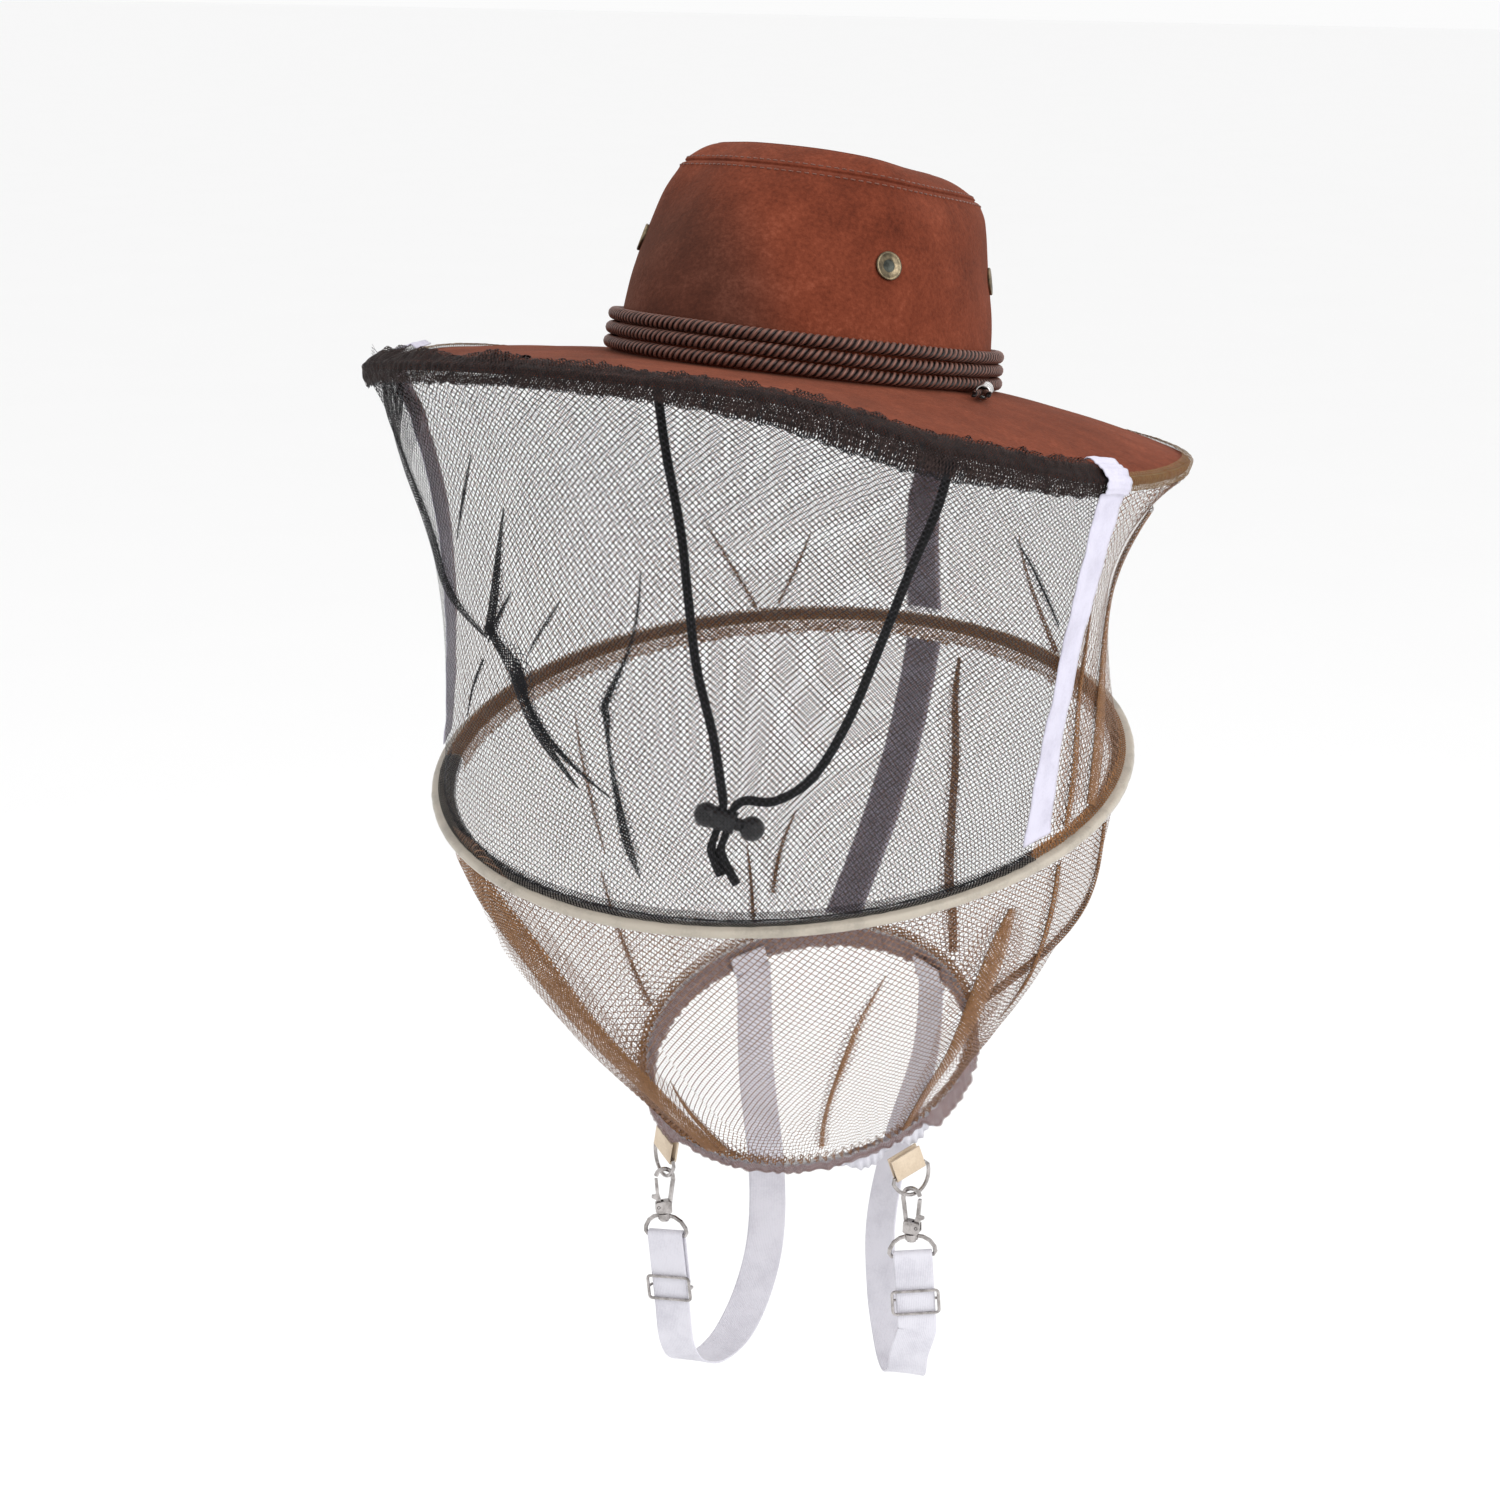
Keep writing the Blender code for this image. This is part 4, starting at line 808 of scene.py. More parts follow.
# ---- hat ----------------------------------------------------------------------------------------
def crown_surface(angle, level, inset=0.0):
    """The CAD crown with soft dents, waves and a raised seam near the top."""
    point = crown_point(angle, level, inset)
    turn = math.remainder(angle, 360)
    outward = Vector((point.x, point.y, 0)).normalized()
    dent = 0.0030 * bell(abs(turn), 78, 26) * bell(level, 0.86, 0.075)
    dent += 0.0012 * bell(abs(turn), 115, 20) * bell(level, 0.55, 0.16)
    wave = 0.0009 * wander(point.x * 22, point.y * 22, level * 2.2) * smoothstep(0.12, 0.4, level)
    ridge = 0.0009 * bell(level, SEAM_LEVEL, 0.026) - 0.0019 * bell(level, SEAM_LEVEL, 0.0065)
    over = max(0.0, (level - SHOULDER_LEVEL) / (1 - SHOULDER_LEVEL))
    shoulder = (0.005 + 0.012 * smoothstep(25, 105, abs(turn))) * (1 - math.sqrt(1 - min(1.0, over) ** 2))
    point += outward * (ridge + wave - dent - shoulder)
    point.z -= 0.0010 * bell(abs(turn), 78, 26) * smoothstep(0.7, 1.0, level)
    return point


def stitch_row(shell, spots, length, gap):
    """Short raised stitches along spots, a list of (point, normal)."""
    walked = 0.0
    start = None
    for (a, na), (b, _) in zip(spots, spots[1:]):
        walked += (b - a).length
        if start is None:
            start = (a, na)
        if walked >= length:
            p, n = start
            q = b
            along = (q - p).normalized()
            side = along.cross(n).normalized()
            ring = [(side * math.cos(t) + n * math.sin(t)) * STITCH_RADIUS for t in around(0, math.tau, 6)[:-1]]
            sink = n * STITCH_RADIUS * 0.7
            rows = [[p - sink] * 6,
                    [p + along * length * 0.15 + r for r in ring],
                    [(p + q) / 2 + n * STITCH_RADIUS * 0.3 + r for r in ring],
                    [q - along * length * 0.15 + r for r in ring],
                    [q - sink] * 6]
            rows = [[v.copy() for v in row] for row in rows]
            shell.grid(rows, wrap_v=True)
            walked = -gap
            start = None
        elif walked < 0:
            start = None


def build_crown():
    shell = Shell()
    angles = around(0, 360, 200)[:-1]
    levels = around(0, 0.86, 46) + around(0.86, 0.93, 16)[1:] + [1 - 0.07 * (1 - k / 12) ** 2 for k in range(1, 13)]
    shell.grid([[HAT @ crown_surface(angle, level) for level in levels] for angle in angles], wrap_u=True)
    crown = shell.make("crown_wall", SUEDE, body="hat", replaces=("crown_side",), slot_name="suede")
    solidify(crown, CROWN_CLOTH)

    shell = Shell()
    shares = around(1.0, 0.0, 34)[:-1]
    rows = []
    for angle in angles:
        rim = crown_surface(angle, 1)
        column = []
        for share in shares:
            sunk = TIP_CREASE_DEPTH * (1 - share ** 2.6) ** 1.5
            point = Vector((rim.x * share, rim.y * share, rim.z * share + CROWN_HEIGHT * (1 - share)))
            point.z += 0.0026 * bell(share, 0.86, 0.10) - sunk
            point.z += 0.0012 * wander(point.x * 26, point.y * 26) * smoothstep(1.0, 0.85, share)
            column.append(HAT @ point)
        rows.append(column)
    shell.grid(rows, wrap_u=True)
    shell.fan([row[-1] for row in rows][::-1], HAT @ Vector((0, 0, CROWN_HEIGHT - TIP_CREASE_DEPTH)))
    tip = shell.make("crown_top", SUEDE, body="hat", replaces=("crown_tip",), slot_name="suede")
    solidify(tip, TIP_CLOTH)

    shell = Shell()
    for level in (SEAM_LEVEL + SEAM_STITCH_OFFSET, SEAM_LEVEL - SEAM_STITCH_OFFSET):
        spots = []
        for angle in around(0, 360, 1400):
            spot = HAT @ crown_surface(angle, level)
            outward = (HAT.to_3x3() @ (heading(angle) + PLUMB * 0.2)).normalized()
            spots.append((spot + outward * 0.0001, outward))
        stitch_row(shell, spots, 0.0024, 0.0012)
    spots = [(HAT @ brim_point(angle, BRIM_STITCH_SHARE), HAT.to_3x3() @ PLUMB) for angle in around(0, 360, 1200)]
    stitch_row(shell, spots, 0.0028, 0.0014)
    shell.make("hat_stitching", THREAD, body="hat", slot_name="suede")


def build_brim():
    shell = Shell()
    angles = around(0, 360, 260)[:-1]
    shares = around(0, 1, 30)
    rows = []
    for angle in angles:
        column = []
        for share in shares:
            point = brim_point(angle, share)
            point.z += 0.0011 * wander(point.x * 18, point.y * 18, 3.0) * smoothstep(0.15, 0.5, share) \
                * smoothstep(1.0, 0.85, share)
            point.z += 0.0012 * bell(share, 0.0, 0.05)
            column.append(HAT @ point)
        rows.append(column)
    shell.grid(rows, wrap_u=True)
    brim = shell.make("brim_suede", SUEDE, body="hat", replaces=("brim",), slot_name="suede")
    solidify(brim, BRIM_THICKNESS - 0.0004, 1.0)


def eyelet_matrix(angle):
    """The eyelet's place on the crown, with Z outwards."""
    spot = HAT @ crown_surface(angle, EYELET_LEVEL, -0.0004)
    along = HAT @ crown_surface(angle + 2, EYELET_LEVEL) - HAT @ crown_surface(angle - 2, EYELET_LEVEL)
    rise = HAT @ crown_surface(angle, EYELET_LEVEL + 0.05) - HAT @ crown_surface(angle, EYELET_LEVEL - 0.05)
    matrix = along.cross(rise).normalized().to_track_quat("Z", "Y").to_matrix().to_4x4()
    matrix.translation = spot
    return matrix


def build_eyelets():
    profile = rounded([(0.0027, -0.0030), (0.0027, -0.0010), (0.0028, 0.0002), (0.0034, 0.0005),
                       (0.0046, 0.0007), (0.0056, 0.0010), (0.0062, 0.0011), (0.0067, 0.0008),
                       (0.0068, 0.0003), (0.0066, -0.0008)], 3)
    for name, angle in EYELET_HEADINGS.items():
        matrix = eyelet_matrix(angle)
        shell = Shell()
        shell.grid(turned_rows(profile, 48, matrix), wrap_u=True)
        # Painted shade: a dark disc closes the bore, standing in for the shade inside the hole.
        rim = [matrix @ Vector((0.0031 * math.cos(t), 0.0031 * math.sin(t), 0.0004))
               for t in around(0, math.tau, 32)[:-1]]
        shell.fan(rim, matrix @ Vector((0, 0, 0.0001)), 1)
        shell.make("eyelet_" + name, BRASS, EYELET_HOLE_SHADE, body="hat", replaces=("vent_eyelet_" + name,),
                   slot_name="antique_brass")


def twisted(shell, path, plies, radius, lay, closed):
    """Several plies laid round a path."""
    count = len(path)
    guides = frames(path, closed, HAT.to_3x3() @ PLUMB)
    step = line_length(path) / max(1, count - 1)
    turns = round(line_length(path) / lay)
    ply_radius = radius * 0.50
    for ply in range(plies):
        line = []
        for i in range(count):
            _, across, up = guides[i]
            angle = -math.tau * (turns * i / count + ply / plies) if closed else \
                -math.tau * (i * step / lay + ply / plies)
            line.append(path[i] + (across * math.cos(angle) + up * math.sin(angle)) * radius * 0.55)

        def toward_axis(i, line=line):
            return (line[i] - path[i]).normalized()

        rows = tube_rows(line, ply_radius, 8, closed, toward_axis)
        length = line_length(line)
        across = [length * i / (count - 1) for i in range(count + 1)]
        # the around-ply coordinate is highest on the ply's outer side, where the cord look paints its highlight
        around_ply = [abs(k / 8 - 0.5) * 0.01 for k in range(9)]
        shell.grid(rows, across, around_ply, wrap_u=closed, wrap_v=True)
        if not closed:
            shell.fan(rows[0][::-1], line[0])
            shell.fan(rows[-1], line[-1])


def build_hat_band():
    names = ("hat_band_cord_lower", "hat_band_cord_middle", "hat_band_cord_upper")
    stand = -(BAND_CORD_RADIUS + GAP + 0.0004)
    for k, name in enumerate(names):
        level = (BAND_CORD_RADIUS + 0.0012 + k * BAND_CORD_PITCH) / CROWN_HEIGHT
        path = [HAT @ crown_point(angle, level + 0.004 * wander(angle / 40, k), stand)
                for angle in around(0, 360, 760)[:-1]]
        shell = Shell()
        twisted(shell, path, 3, BAND_CORD_RADIUS, 0.0105, True)
        shell.make(name.replace("cord", "twist"), BAND_CORD, body="hat", replaces=(name,), slot_name="band_cord")

    def on_brim(angle, share, lift):
        return HAT @ (brim_point(angle, share) + Vector((0, 0, lift)))

    start = on_brim(BAND_FERRULE_HEADING + 2, 0.135, 0.0046)
    finish = on_brim(BAND_FERRULE_HEADING - 5, 0.20, 0.0046)
    along = (finish - start).normalized()
    length = (finish - start).length
    matrix = along.to_track_quat("Z", "Y").to_matrix().to_4x4()
    matrix.translation = start
    profile = []
    coils = 9
    for k in range(coils * 6 + 1):
        z = length * k / (coils * 6)
        profile.append((0.00345 + 0.0004 * abs(math.sin(math.pi * k / 6)), z))
    shell = Shell()
    shell.grid(turned_rows([(0.0030, 0)] + profile + [(0.0030, length)], 32, matrix), wrap_u=True)
    shell.make("ferrule_coil", SILVER, body="hat", replaces=("hat_band_ferrule",), slot_name="nickel")
    across = along.cross(PLUMB).normalized()
    for name, side in (("hat_band_end_inner", -1), ("hat_band_end_outer", 1)):
        offset = across * (side * 0.00155)
        route = [start + offset - along * 0.006, start + offset, finish + offset,
                 finish + along * 0.005 + offset * 1.5, finish + along * 0.009 + offset * 2.4]
        shell = Shell()
        twisted(shell, even(smooth_route(route, 8), 0.0005), 2, 0.00155, 0.0052, False)
        shell.make(name.replace("end", "tail"), BAND_CORD, body="hat", replaces=(name,), slot_name="band_cord")


# ---- veil ---------------------------------------------------------------------------------------
def build_casing(name, start, end, looks, seed, lip, rise, ruffle, hang, depth, reach):
    """Gathered net bunched over the brim's edge in loose layers, ragged above and below."""
    shell = Shell()
    steps = round((end - start) / 0.28)
    layers = 3 if len(looks) > 1 else 1
    for layer in range(layers):
        rows = []
        for k in range(steps + 1):
            angle = start + (end - start) * k / steps
            edge, outward, upward = edge_frame(angle)
            s = angle * 0.0035
            ragged = ruffle * (wander(s * 38, seed + 3 * layer) + 0.5 * wander(s * 210, seed + 5 + layer))
            ends = smoothstep(start, start + 7, angle) * smoothstep(end, end - 7, angle)
            top = rise * (1 - 0.2 * layer) * (1 - 0.4 * bell(angle, 35, 22)) + ragged * ends
            low = hang(angle) * (0.8 + 0.25 * layer) + 0.5 * ruffle * wander(s * 150, seed + 8, layer)
            bag = 0.0035 * bell(math.remainder(angle, 360), -66, 9)
            outline = [(-lip, 0.0010), (-lip * 0.8, top * 0.55), (-lip * 0.55, top), (-lip * 0.30, top * 0.8),
                       (-0.0010, max(top * 0.40, 0.0016)), (reach + bag / 2, 0.0006),
                       (reach * 1.3 + bag, -0.0024), (reach * 1.4 + bag, -depth), (reach + bag / 2, -depth - low)]
            if depth + low < 0.0065:
                outline.append((-0.0036, -depth))
            points = smooth_route([Vector((o, w, 0)) for o, w in outline], 3)
            column = []
            for j, p in enumerate(points):
                tuck = 0.0004 * math.sin(math.tau * s / 0.0058 + 5 * wander(s * 60, j * 0.05, seed + layer))
                crumple = 0.0013 * wander(s * 150, j * 0.22, seed + 20 * layer) \
                    + 0.0008 * wander(s * 420, j * 0.35, seed + 30 * layer) + tuck
                away = (p - Vector((-0.004, -0.0015, 0))).normalized()
                swell = (crumple * (0.15 + 0.85 * ends) - 0.0006 * layer) * (ruffle / 0.004)
                p = p + away * (swell + 0.0005 * ends)
                column.append(edge + outward * p.x + upward * p.y)
            rows.append(column)
        across = [(start + (end - start) * k / steps) * 0.0048 + layer * 0.3 for k in range(steps + 2)]
        shell.grid(rows, across, slot=1 if layer == 2 else 0)
    return shell.make(name, *looks, body="hat", slot_name="black_net" if "front" in name else "brown_net")


def front_hang(angle):
    """How far the front casing hangs below the brim's edge."""
    return 0.0022 + 0.0055 * bell(angle, 44, 24) + 0.002 * bell(angle, -50, 20)


def rear_hang(_):
    return 0.0008


def pleat(shell, surface, route, widths):
    """A pinched fold along a route of (heading, share): loose net round a dense core."""
    points = smooth_route([Vector((a, s * 100, w * 1000)) for (a, s), w in zip(route, widths)], 8)
    spots = []
    for p in points:
        spot, _, _, outward = surface_frame(surface, p.x, min(max(p.y / 100, 0.002), 0.998))
        spots.append((spot, outward, max(p.z / 1000, 0.0002)))
    line = [spot[0] for spot in spots]
    loose = [(-0.5, 0.05), (-0.3, 0.25), (0.0, 0.45), (0.3, 0.25), (0.5, 0.05)]
    core = [(-0.5, 0.15), (-0.45, 0.45), (-0.1, 0.9), (0.3, 1.0), (0.5, 0.85), (0.42, 0.55),
            (0.1, 0.45), (-0.25, 0.3), (-0.35, 0.1)]
    for section, slot, swell in ((loose, 0, 2.4), (core, 1, 1.0)):
        rows = []
        for i, (spot, outward, width) in enumerate(spots):
            tangent = (line[min(i + 1, len(line) - 1)] - line[max(i - 1, 0)]).normalized()
            side = tangent.cross(outward).normalized()
            rise = min(FOLD_LIFT, width * 0.8)
            rows.append([spot + side * (x * width * swell) + outward * (0.0004 + z * rise) for x, z in section])
        shell.grid(rows, slot=slot)


# each fold: a route of (heading, share of the drop), and its width at each of those points
FACE_FOLDS = (
    ([(-12, 0.25), (-15, 0.34), (-18, 0.44), (-21, 0.52)], (0.0006, 0.0022, 0.0040, 0.0042)),
    ([(-21, 0.50), (-18, 0.54), (-15, 0.57), (-14, 0.60), (-13, 0.64), (-11, 0.68), (-8, 0.72), (-3, 0.78)],
     (0.0040, 0.0050, 0.0085, 0.0080, 0.0050, 0.0042, 0.0030, 0.0005)),
    ([(-13, 0.63), (-9, 0.69), (-4, 0.735), (3, 0.785)], (0.0020, 0.0024, 0.0016, 0.0005)),
    ([(-64, 0.01), (-60, 0.06), (-54, 0.12), (-47, 0.20), (-41, 0.28), (-38, 0.36), (-36, 0.44), (-30, 0.49),
      (-22, 0.53)], (0.0180, 0.0190, 0.0150, 0.0100, 0.0080, 0.0075, 0.0060, 0.0030, 0.0014)),
    ([(-60, 0.01), (-52, 0.10), (-48, 0.22), (-46, 0.34)], (0.0040, 0.0030, 0.0016, 0.0004)),
    ([(10, 0.34), (9, 0.42), (7, 0.50), (3, 0.60), (3, 0.63), (3, 0.68), (4, 0.76), (6, 0.86), (8, 0.93)],
     (0.0004, 0.0009, 0.0012, 0.0030, 0.0030, 0.0014, 0.0022, 0.0038, 0.0004)),
    ([(-16, 0.15), (-21, 0.24), (-27, 0.34)], (0.0004, 0.0012, 0.0004)),
    ([(-14, 0.42), (-18, 0.48), (-22, 0.54)], (0.0004, 0.0018, 0.0008)),
    ([(-4, 0.42), (-8, 0.48), (-12, 0.54)], (0.0004, 0.0012, 0.0004)),
    ([(-24, 0.58), (-29, 0.66), (-32, 0.73)], (0.0012, 0.0010, 0.0004)),
    ([(60, 0.14), (63, 0.20), (66, 0.27), (70, 0.36)], (0.0004, 0.0014, 0.0018, 0.0014)),
)
REAR_FOLDS = (
    ([(160, 0.45), (158, 0.62), (155, 0.80), (152, 0.98)], (0.0004, 0.0014, 0.0020, 0.0030)),
    ([(226, 0.55), (222, 0.70), (218, 0.85), (215, 0.98)], (0.0004, 0.0014, 0.0016, 0.0020)),
    ([(205, 0.60), (208, 0.80), (211, 0.97)], (0.0004, 0.0014, 0.0012)),
    ([(90, 0.06), (94, 0.25), (97, 0.50), (95, 0.75), (90, 0.97)], (0.0100, 0.0110, 0.0180, 0.0200, 0.0120)),
    ([(80, 0.35), (82, 0.55), (84, 0.78), (82, 0.97)], (0.0010, 0.0050, 0.0080, 0.0060)),
)
SKIRT_FOLDS = (
    ([(-41, 0.05), (-34, 0.09), (-27, 0.13), (-20, 0.26), (-16, 0.46), (-13, 0.66), (-14, 0.86), (-16, 0.97)],
     (0.0150, 0.0260, 0.0290, 0.0270, 0.0220, 0.0160, 0.0120, 0.0100)),
    ([(69, 0.10), (66, 0.22), (62, 0.42), (58, 0.64), (54, 0.78), (49, 0.97)],
     (0.0060, 0.0150, 0.0170, 0.0120, 0.0090, 0.0060)),
    ([(45, 0.20), (39, 0.36), (35, 0.50), (29, 0.70), (22, 0.92)], (0.0006, 0.0030, 0.0040, 0.0028, 0.0030)),
    ([(-4, 0.62), (-7, 0.76), (-10, 0.95)], (0.0004, 0.0018, 0.0030)),
    ([(-103, 0.62), (-100, 0.80), (-97, 0.97)], (0.0012, 0.0026, 0.0040)),
    ([(-107, 0.14), (-107, 0.30), (-107, 0.42), (-106, 0.58)], (0.0005, 0.0018, 0.0022, 0.0006)),
    ([(175, 0.08), (174, 0.24), (170, 0.44), (165, 0.62), (157, 0.78), (147, 0.88), (137, 0.96)],
     (0.0016, 0.0032, 0.0036, 0.0040, 0.0050, 0.0045, 0.0040)),
    ([(204, 0.64), (207, 0.76), (208, 0.88)], (0.0005, 0.0018, 0.0018)),
    ([(216, 0.72), (215, 0.82), (214, 0.96)], (0.0005, 0.0018, 0.0020)),
    ([(96, 0.03), (97, 0.20), (102, 0.50), (110, 0.95)], (0.0060, 0.0070, 0.0050, 0.0050)),
    ([(80, 0.03), (79, 0.20), (76, 0.45), (72, 0.62)], (0.0040, 0.0060, 0.0040, 0.0006)),
)


def net_surface(surface, seed, pleats_at_top, pleats_at_foot):
    """The plain CAD surface with soft billows and small gathers at its sewn edges."""
    def shaped(angle, share):
        point, _, _, outward = surface_frame(surface, angle, share)
        hang = math.sin(math.pi * share)
        billow = 0.0016 * wander(angle / 14, share * 2.2, seed) * hang
        ripple = 0.0005 * wander(angle / 2.6 + share * 9, share * 2.5, seed + 3) * hang
        s = angle * 0.0032
        top = pleats_at_top * math.sin(math.tau * s / 0.0085 + 2 * wander(s * 50, seed)) * math.exp(-share / 0.10)
        foot = pleats_at_foot * math.sin(math.tau * s / 0.0090 + 2 * wander(s * 40, seed + 7)) \
            * math.exp(-(1 - share) / 0.10)
        return point + outward * (billow + ripple + top + foot)
    return shaped


def build_nets():
    seam = 0.2
    right, left, _, right_again = SEAMS_AT_HOOP
    jobs = (("face_net_sheet", "face_net", veil_point, right + seam, left - seam, 260, 110, BLACK_NET, BLACK_FOLD,
             FACE_FOLDS, 0.0008, 0.0004, 1.0),
            ("rear_net_sheet", "rear_net", veil_point, left + seam, right_again - seam, 380, 96, BROWN_NET,
             BROWN_FOLD, REAR_FOLDS, 0.0008, 0.0005, 2.0),
            ("skirt_net_sheet", "skirt_net", skirt_point, 0, 360, 620, 84, BROWN_NET, BROWN_FOLD,
             SKIRT_FOLDS, 0.0004, 0.0022, 3.0))
    made = {}
    for name, node, surface, start, end, columns, rows, look, folded, folds, top, foot, seed in jobs:
        shaped = net_surface(surface, seed, top, foot)
        ring = end - start == 360
        angles = around(start, end, columns)
        if ring:
            angles = angles[:-1]
        shares = around(0, 1, rows)
        shell = Shell()
        shell.grid([[shaped(angle, share) for share in shares] for angle in angles], wrap_u=ring,
                   slot=lambda i, j, last=rows - 2: 1 if j >= last else 0)
        for route, widths in folds:
            pleat(shell, surface, route, widths)
        kind = "black_net" if node == "face_net" else "brown_net"
        made[node] = shell.make(name, look, folded, replaces=(node,), slot_name=kind)
    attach(made["skirt_net"], "hoop")
    return made


def tape_spots(surface, angle, brim_angle, shares, stand):
    """Spots down a seam; with a brim heading it starts on the brim and wraps over the edge."""
    spots = []
    if brim_angle is not None:
        edge, outward, upward = edge_frame(brim_angle)
        along = (edge_frame(brim_angle + 1)[0] - edge_frame(brim_angle - 1)[0]).normalized()
        for o, w, no, nw in ((-0.0128, 0.0040, -0.3, 1), (-0.0100, 0.0058, 0, 1), (-0.0050, 0.0050, 0, 1),
                             (0.0002, 0.0040, 0.4, 1), (0.0042, 0.0010, 1, 0.3), (0.0050, -0.0036, 1, -0.3),
                             (0.0034, -0.0076, 1, -0.3)):
            spots.append((edge + outward * o + upward * w, along, (outward * no + upward * nw).normalized()))
    for share in shares:
        point, along, _, outward = surface_frame(surface, angle, share)
        spots.append((point + outward * stand, along, outward))
    middle = smooth_route([s[0] for s in spots], 8)
    across = smooth_route([s[1] for s in spots], 8)
    outward = smooth_route([s[2] for s in spots], 8)
    return [(m, a.normalized(), o.normalized()) for m, a, o in zip(middle, across, outward)]


def build_allowance(name, surface, shares, body=None):
    """The doubled net behind the rear seam: a real seam allowance, tinted mauve-grey as painted shade on the rear
    tape seen from inside.
    """
    rows = [[middle + across * (x * ALLOWANCE_WIDTH / 2) for x in around(-1, 1, 8)]
            for middle, across, _ in tape_spots(surface, SEAMS_AT_HOOP[2], None, shares, ALLOWANCE_INSET)]
    shell = Shell()
    shell.grid(rows)
    return shell.make(name, SEAM_NET_AND_SHADE, body=body, slot_name="brown_net")


def build_tapes():
    right, left, rear, _ = SEAMS_AT_HOOP
    made = {}
    for name, angle, brim_angle in (("seam_tape_left", left, SEAMS_AT_BRIM[1]),
                                    ("seam_tape_right", right, SEAMS_AT_BRIM[0]),
                                    ("seam_tape_rear", rear, SEAMS_AT_BRIM[2])):
        spots = tape_spots(veil_point, angle, brim_angle, (0.09, 0.16, 0.26, 0.4, 0.55, 0.7, 0.85, 0.955), 0.0022)
        rows = []
        for i, (middle, across, outward) in enumerate(spots):
            wave = 0.0007 * wander(i * 0.13, angle) + 0.0004 * wander(i * 0.4, angle + 9)
            pinch = 1 - 0.10 * abs(wander(i * 0.09, angle + 4))
            rows.append([middle + across * (x * TAPE_WIDTH / 2 * pinch)
                         + outward * (wave + 0.0005 * wander(i * 0.3, x * 1.5, angle)) for x in around(-1, 1, 10)])
        shell = Shell()
        shell.grid(rows)
        tape = shell.make(name.replace("tape", "ribbon"), WHITE_TAPE, replaces=(name,), slot_name="white_tape")
        solidify(tape, RIBBON_CLOTH, 0.0)
        made[name] = (tape, line_length([s[0] for s in spots]))

    spots = tape_spots(skirt_point, rear, None, (0.04, 0.2, 0.4, 0.6, 0.8, 0.96), 0.0024)
    rows = []
    for i, (middle, across, outward) in enumerate(spots):
        wave = 0.0010 * wander(i * 0.3, 4.2)
        rows.append([middle + across * (x * TAPE_WIDTH / 2)
                     + outward * (wave + 0.0007 * wander(i * 0.5, x * 2, 8)) for x in around(-1, 1, 10)])
    shell = Shell()
    shell.grid(rows)
    tape = shell.make("skirt_ribbon_rear", WHITE_TAPE, body="hoop", replaces=("skirt_tape_rear",),
                      slot_name="white_tape")
    solidify(tape, RIBBON_CLOTH, 0.0)
    made["skirt_tape_rear"] = (tape, line_length([s[0] for s in spots]))
    allowance = build_allowance("seam_allowance_rear", veil_point, (0.04, 0.16, 0.26, 0.4, 0.55, 0.7, 0.85, 0.97))
    build_allowance("skirt_allowance_rear", skirt_point, (0.04, 0.2, 0.4, 0.6, 0.8, 0.96), "hoop")
    return made, allowance


def build_hoop():
    outline = rounded([(0.0, 0.0), (-0.0006, 0.0017), (-0.0026, 0.0024), (-0.0060, 0.0024), (-0.0096, 0.0012),
                       (-0.0112, 0.0002), (-0.0112, -0.0004), (-0.0096, -0.0014), (-0.0060, -0.0024),
                       (-0.0026, -0.0024), (-0.0006, -0.0017), (0.0, 0.0)], 3)[:-1]
    shell = Shell()
    rows = []
    steps = 420
    for k in range(steps):
        angle = 360 * k / steps
        pucker = 0.00022 * wander(angle / 2.2, 3) + 0.0002 * wander(angle / 7, 8)
        rows.append([hoop_point(angle, o + pucker * (1 + 2 * wander(angle / 3, j * 0.3)), w * (1 + 0.1 * wander(
            angle / 4, j * 0.4, 5))) for j, (o, w) in enumerate(outline)])
    shell.grid(rows, wrap_u=True, wrap_v=True)
    shell.make("hoop_binding", CREAM_TAPE, body="hoop", replaces=("hoop_casing",), slot_name="cream_tape")

    # the nets' raw edges, turned to the inside of the hoop
    shell = Shell()
    for start, end, slot, fringe in ((-66, 74, 0, 0.0), (74, 294, 1, 0.0048)):
        rows = []
        count = round((end - start) / 0.5)
        for k in range(count + 1):
            angle = start + (end - start) * k / count
            ragged = fringe * (0.6 + 0.8 * abs(wander(angle * 0.9, 2)) + 0.5 * wander(angle * 3, 5))
            lift = 0.0005 * wander(angle * 0.6, 7)
            if slot:
                section = [(-0.0042, 0.0029), (-0.0070, 0.0035), (-0.0110, 0.0030), (-0.0126, 0.0004),
                           (-0.0126, -0.0024), (-0.0122, -0.0040 - ragged)]
            else:
                section = [(-0.0036, 0.0028), (-0.0060, 0.0033), (-0.0092, 0.0030), (-0.0112, 0.0022),
                           (-0.0122, 0.0004), (-0.0122, -0.0018)]
            rows.append([hoop_point(angle, o, w + lift) for o, w in section])
        shell.grid(rows, slot=slot)
    shell.make("hoop_seam_edges", BLACK_FOLD, BROWN_FOLD, body="hoop", slot_name="brown_net")


def hem_rise(angle):
    """Between the two front tabs the hem is gathered up to half its height."""
    turn = math.remainder(angle, 360)
    return 0.0080 * smoothstep(-29, -16, turn) * smoothstep(78, 70, turn)


def elastic_bared(angle):
    """Share of the neck elastic's height that hangs free below the hem, at headings round the neck."""
    turn = math.remainder(angle, 360)
    return min(1.0, 1.3 * bell(turn, 49, 6) + 1.3 * bell(turn, 68, 5))


def hem_lift(angle):
    """How far the gathered hem has ridden up and bared its elastic, at headings round the neck."""
    turn = math.remainder(angle, 360)
    return 0.0060 * bell(turn, 49, 6) + 0.0050 * bell(turn, 68, 5) + 0.0030 * bell(turn, -18, 4)


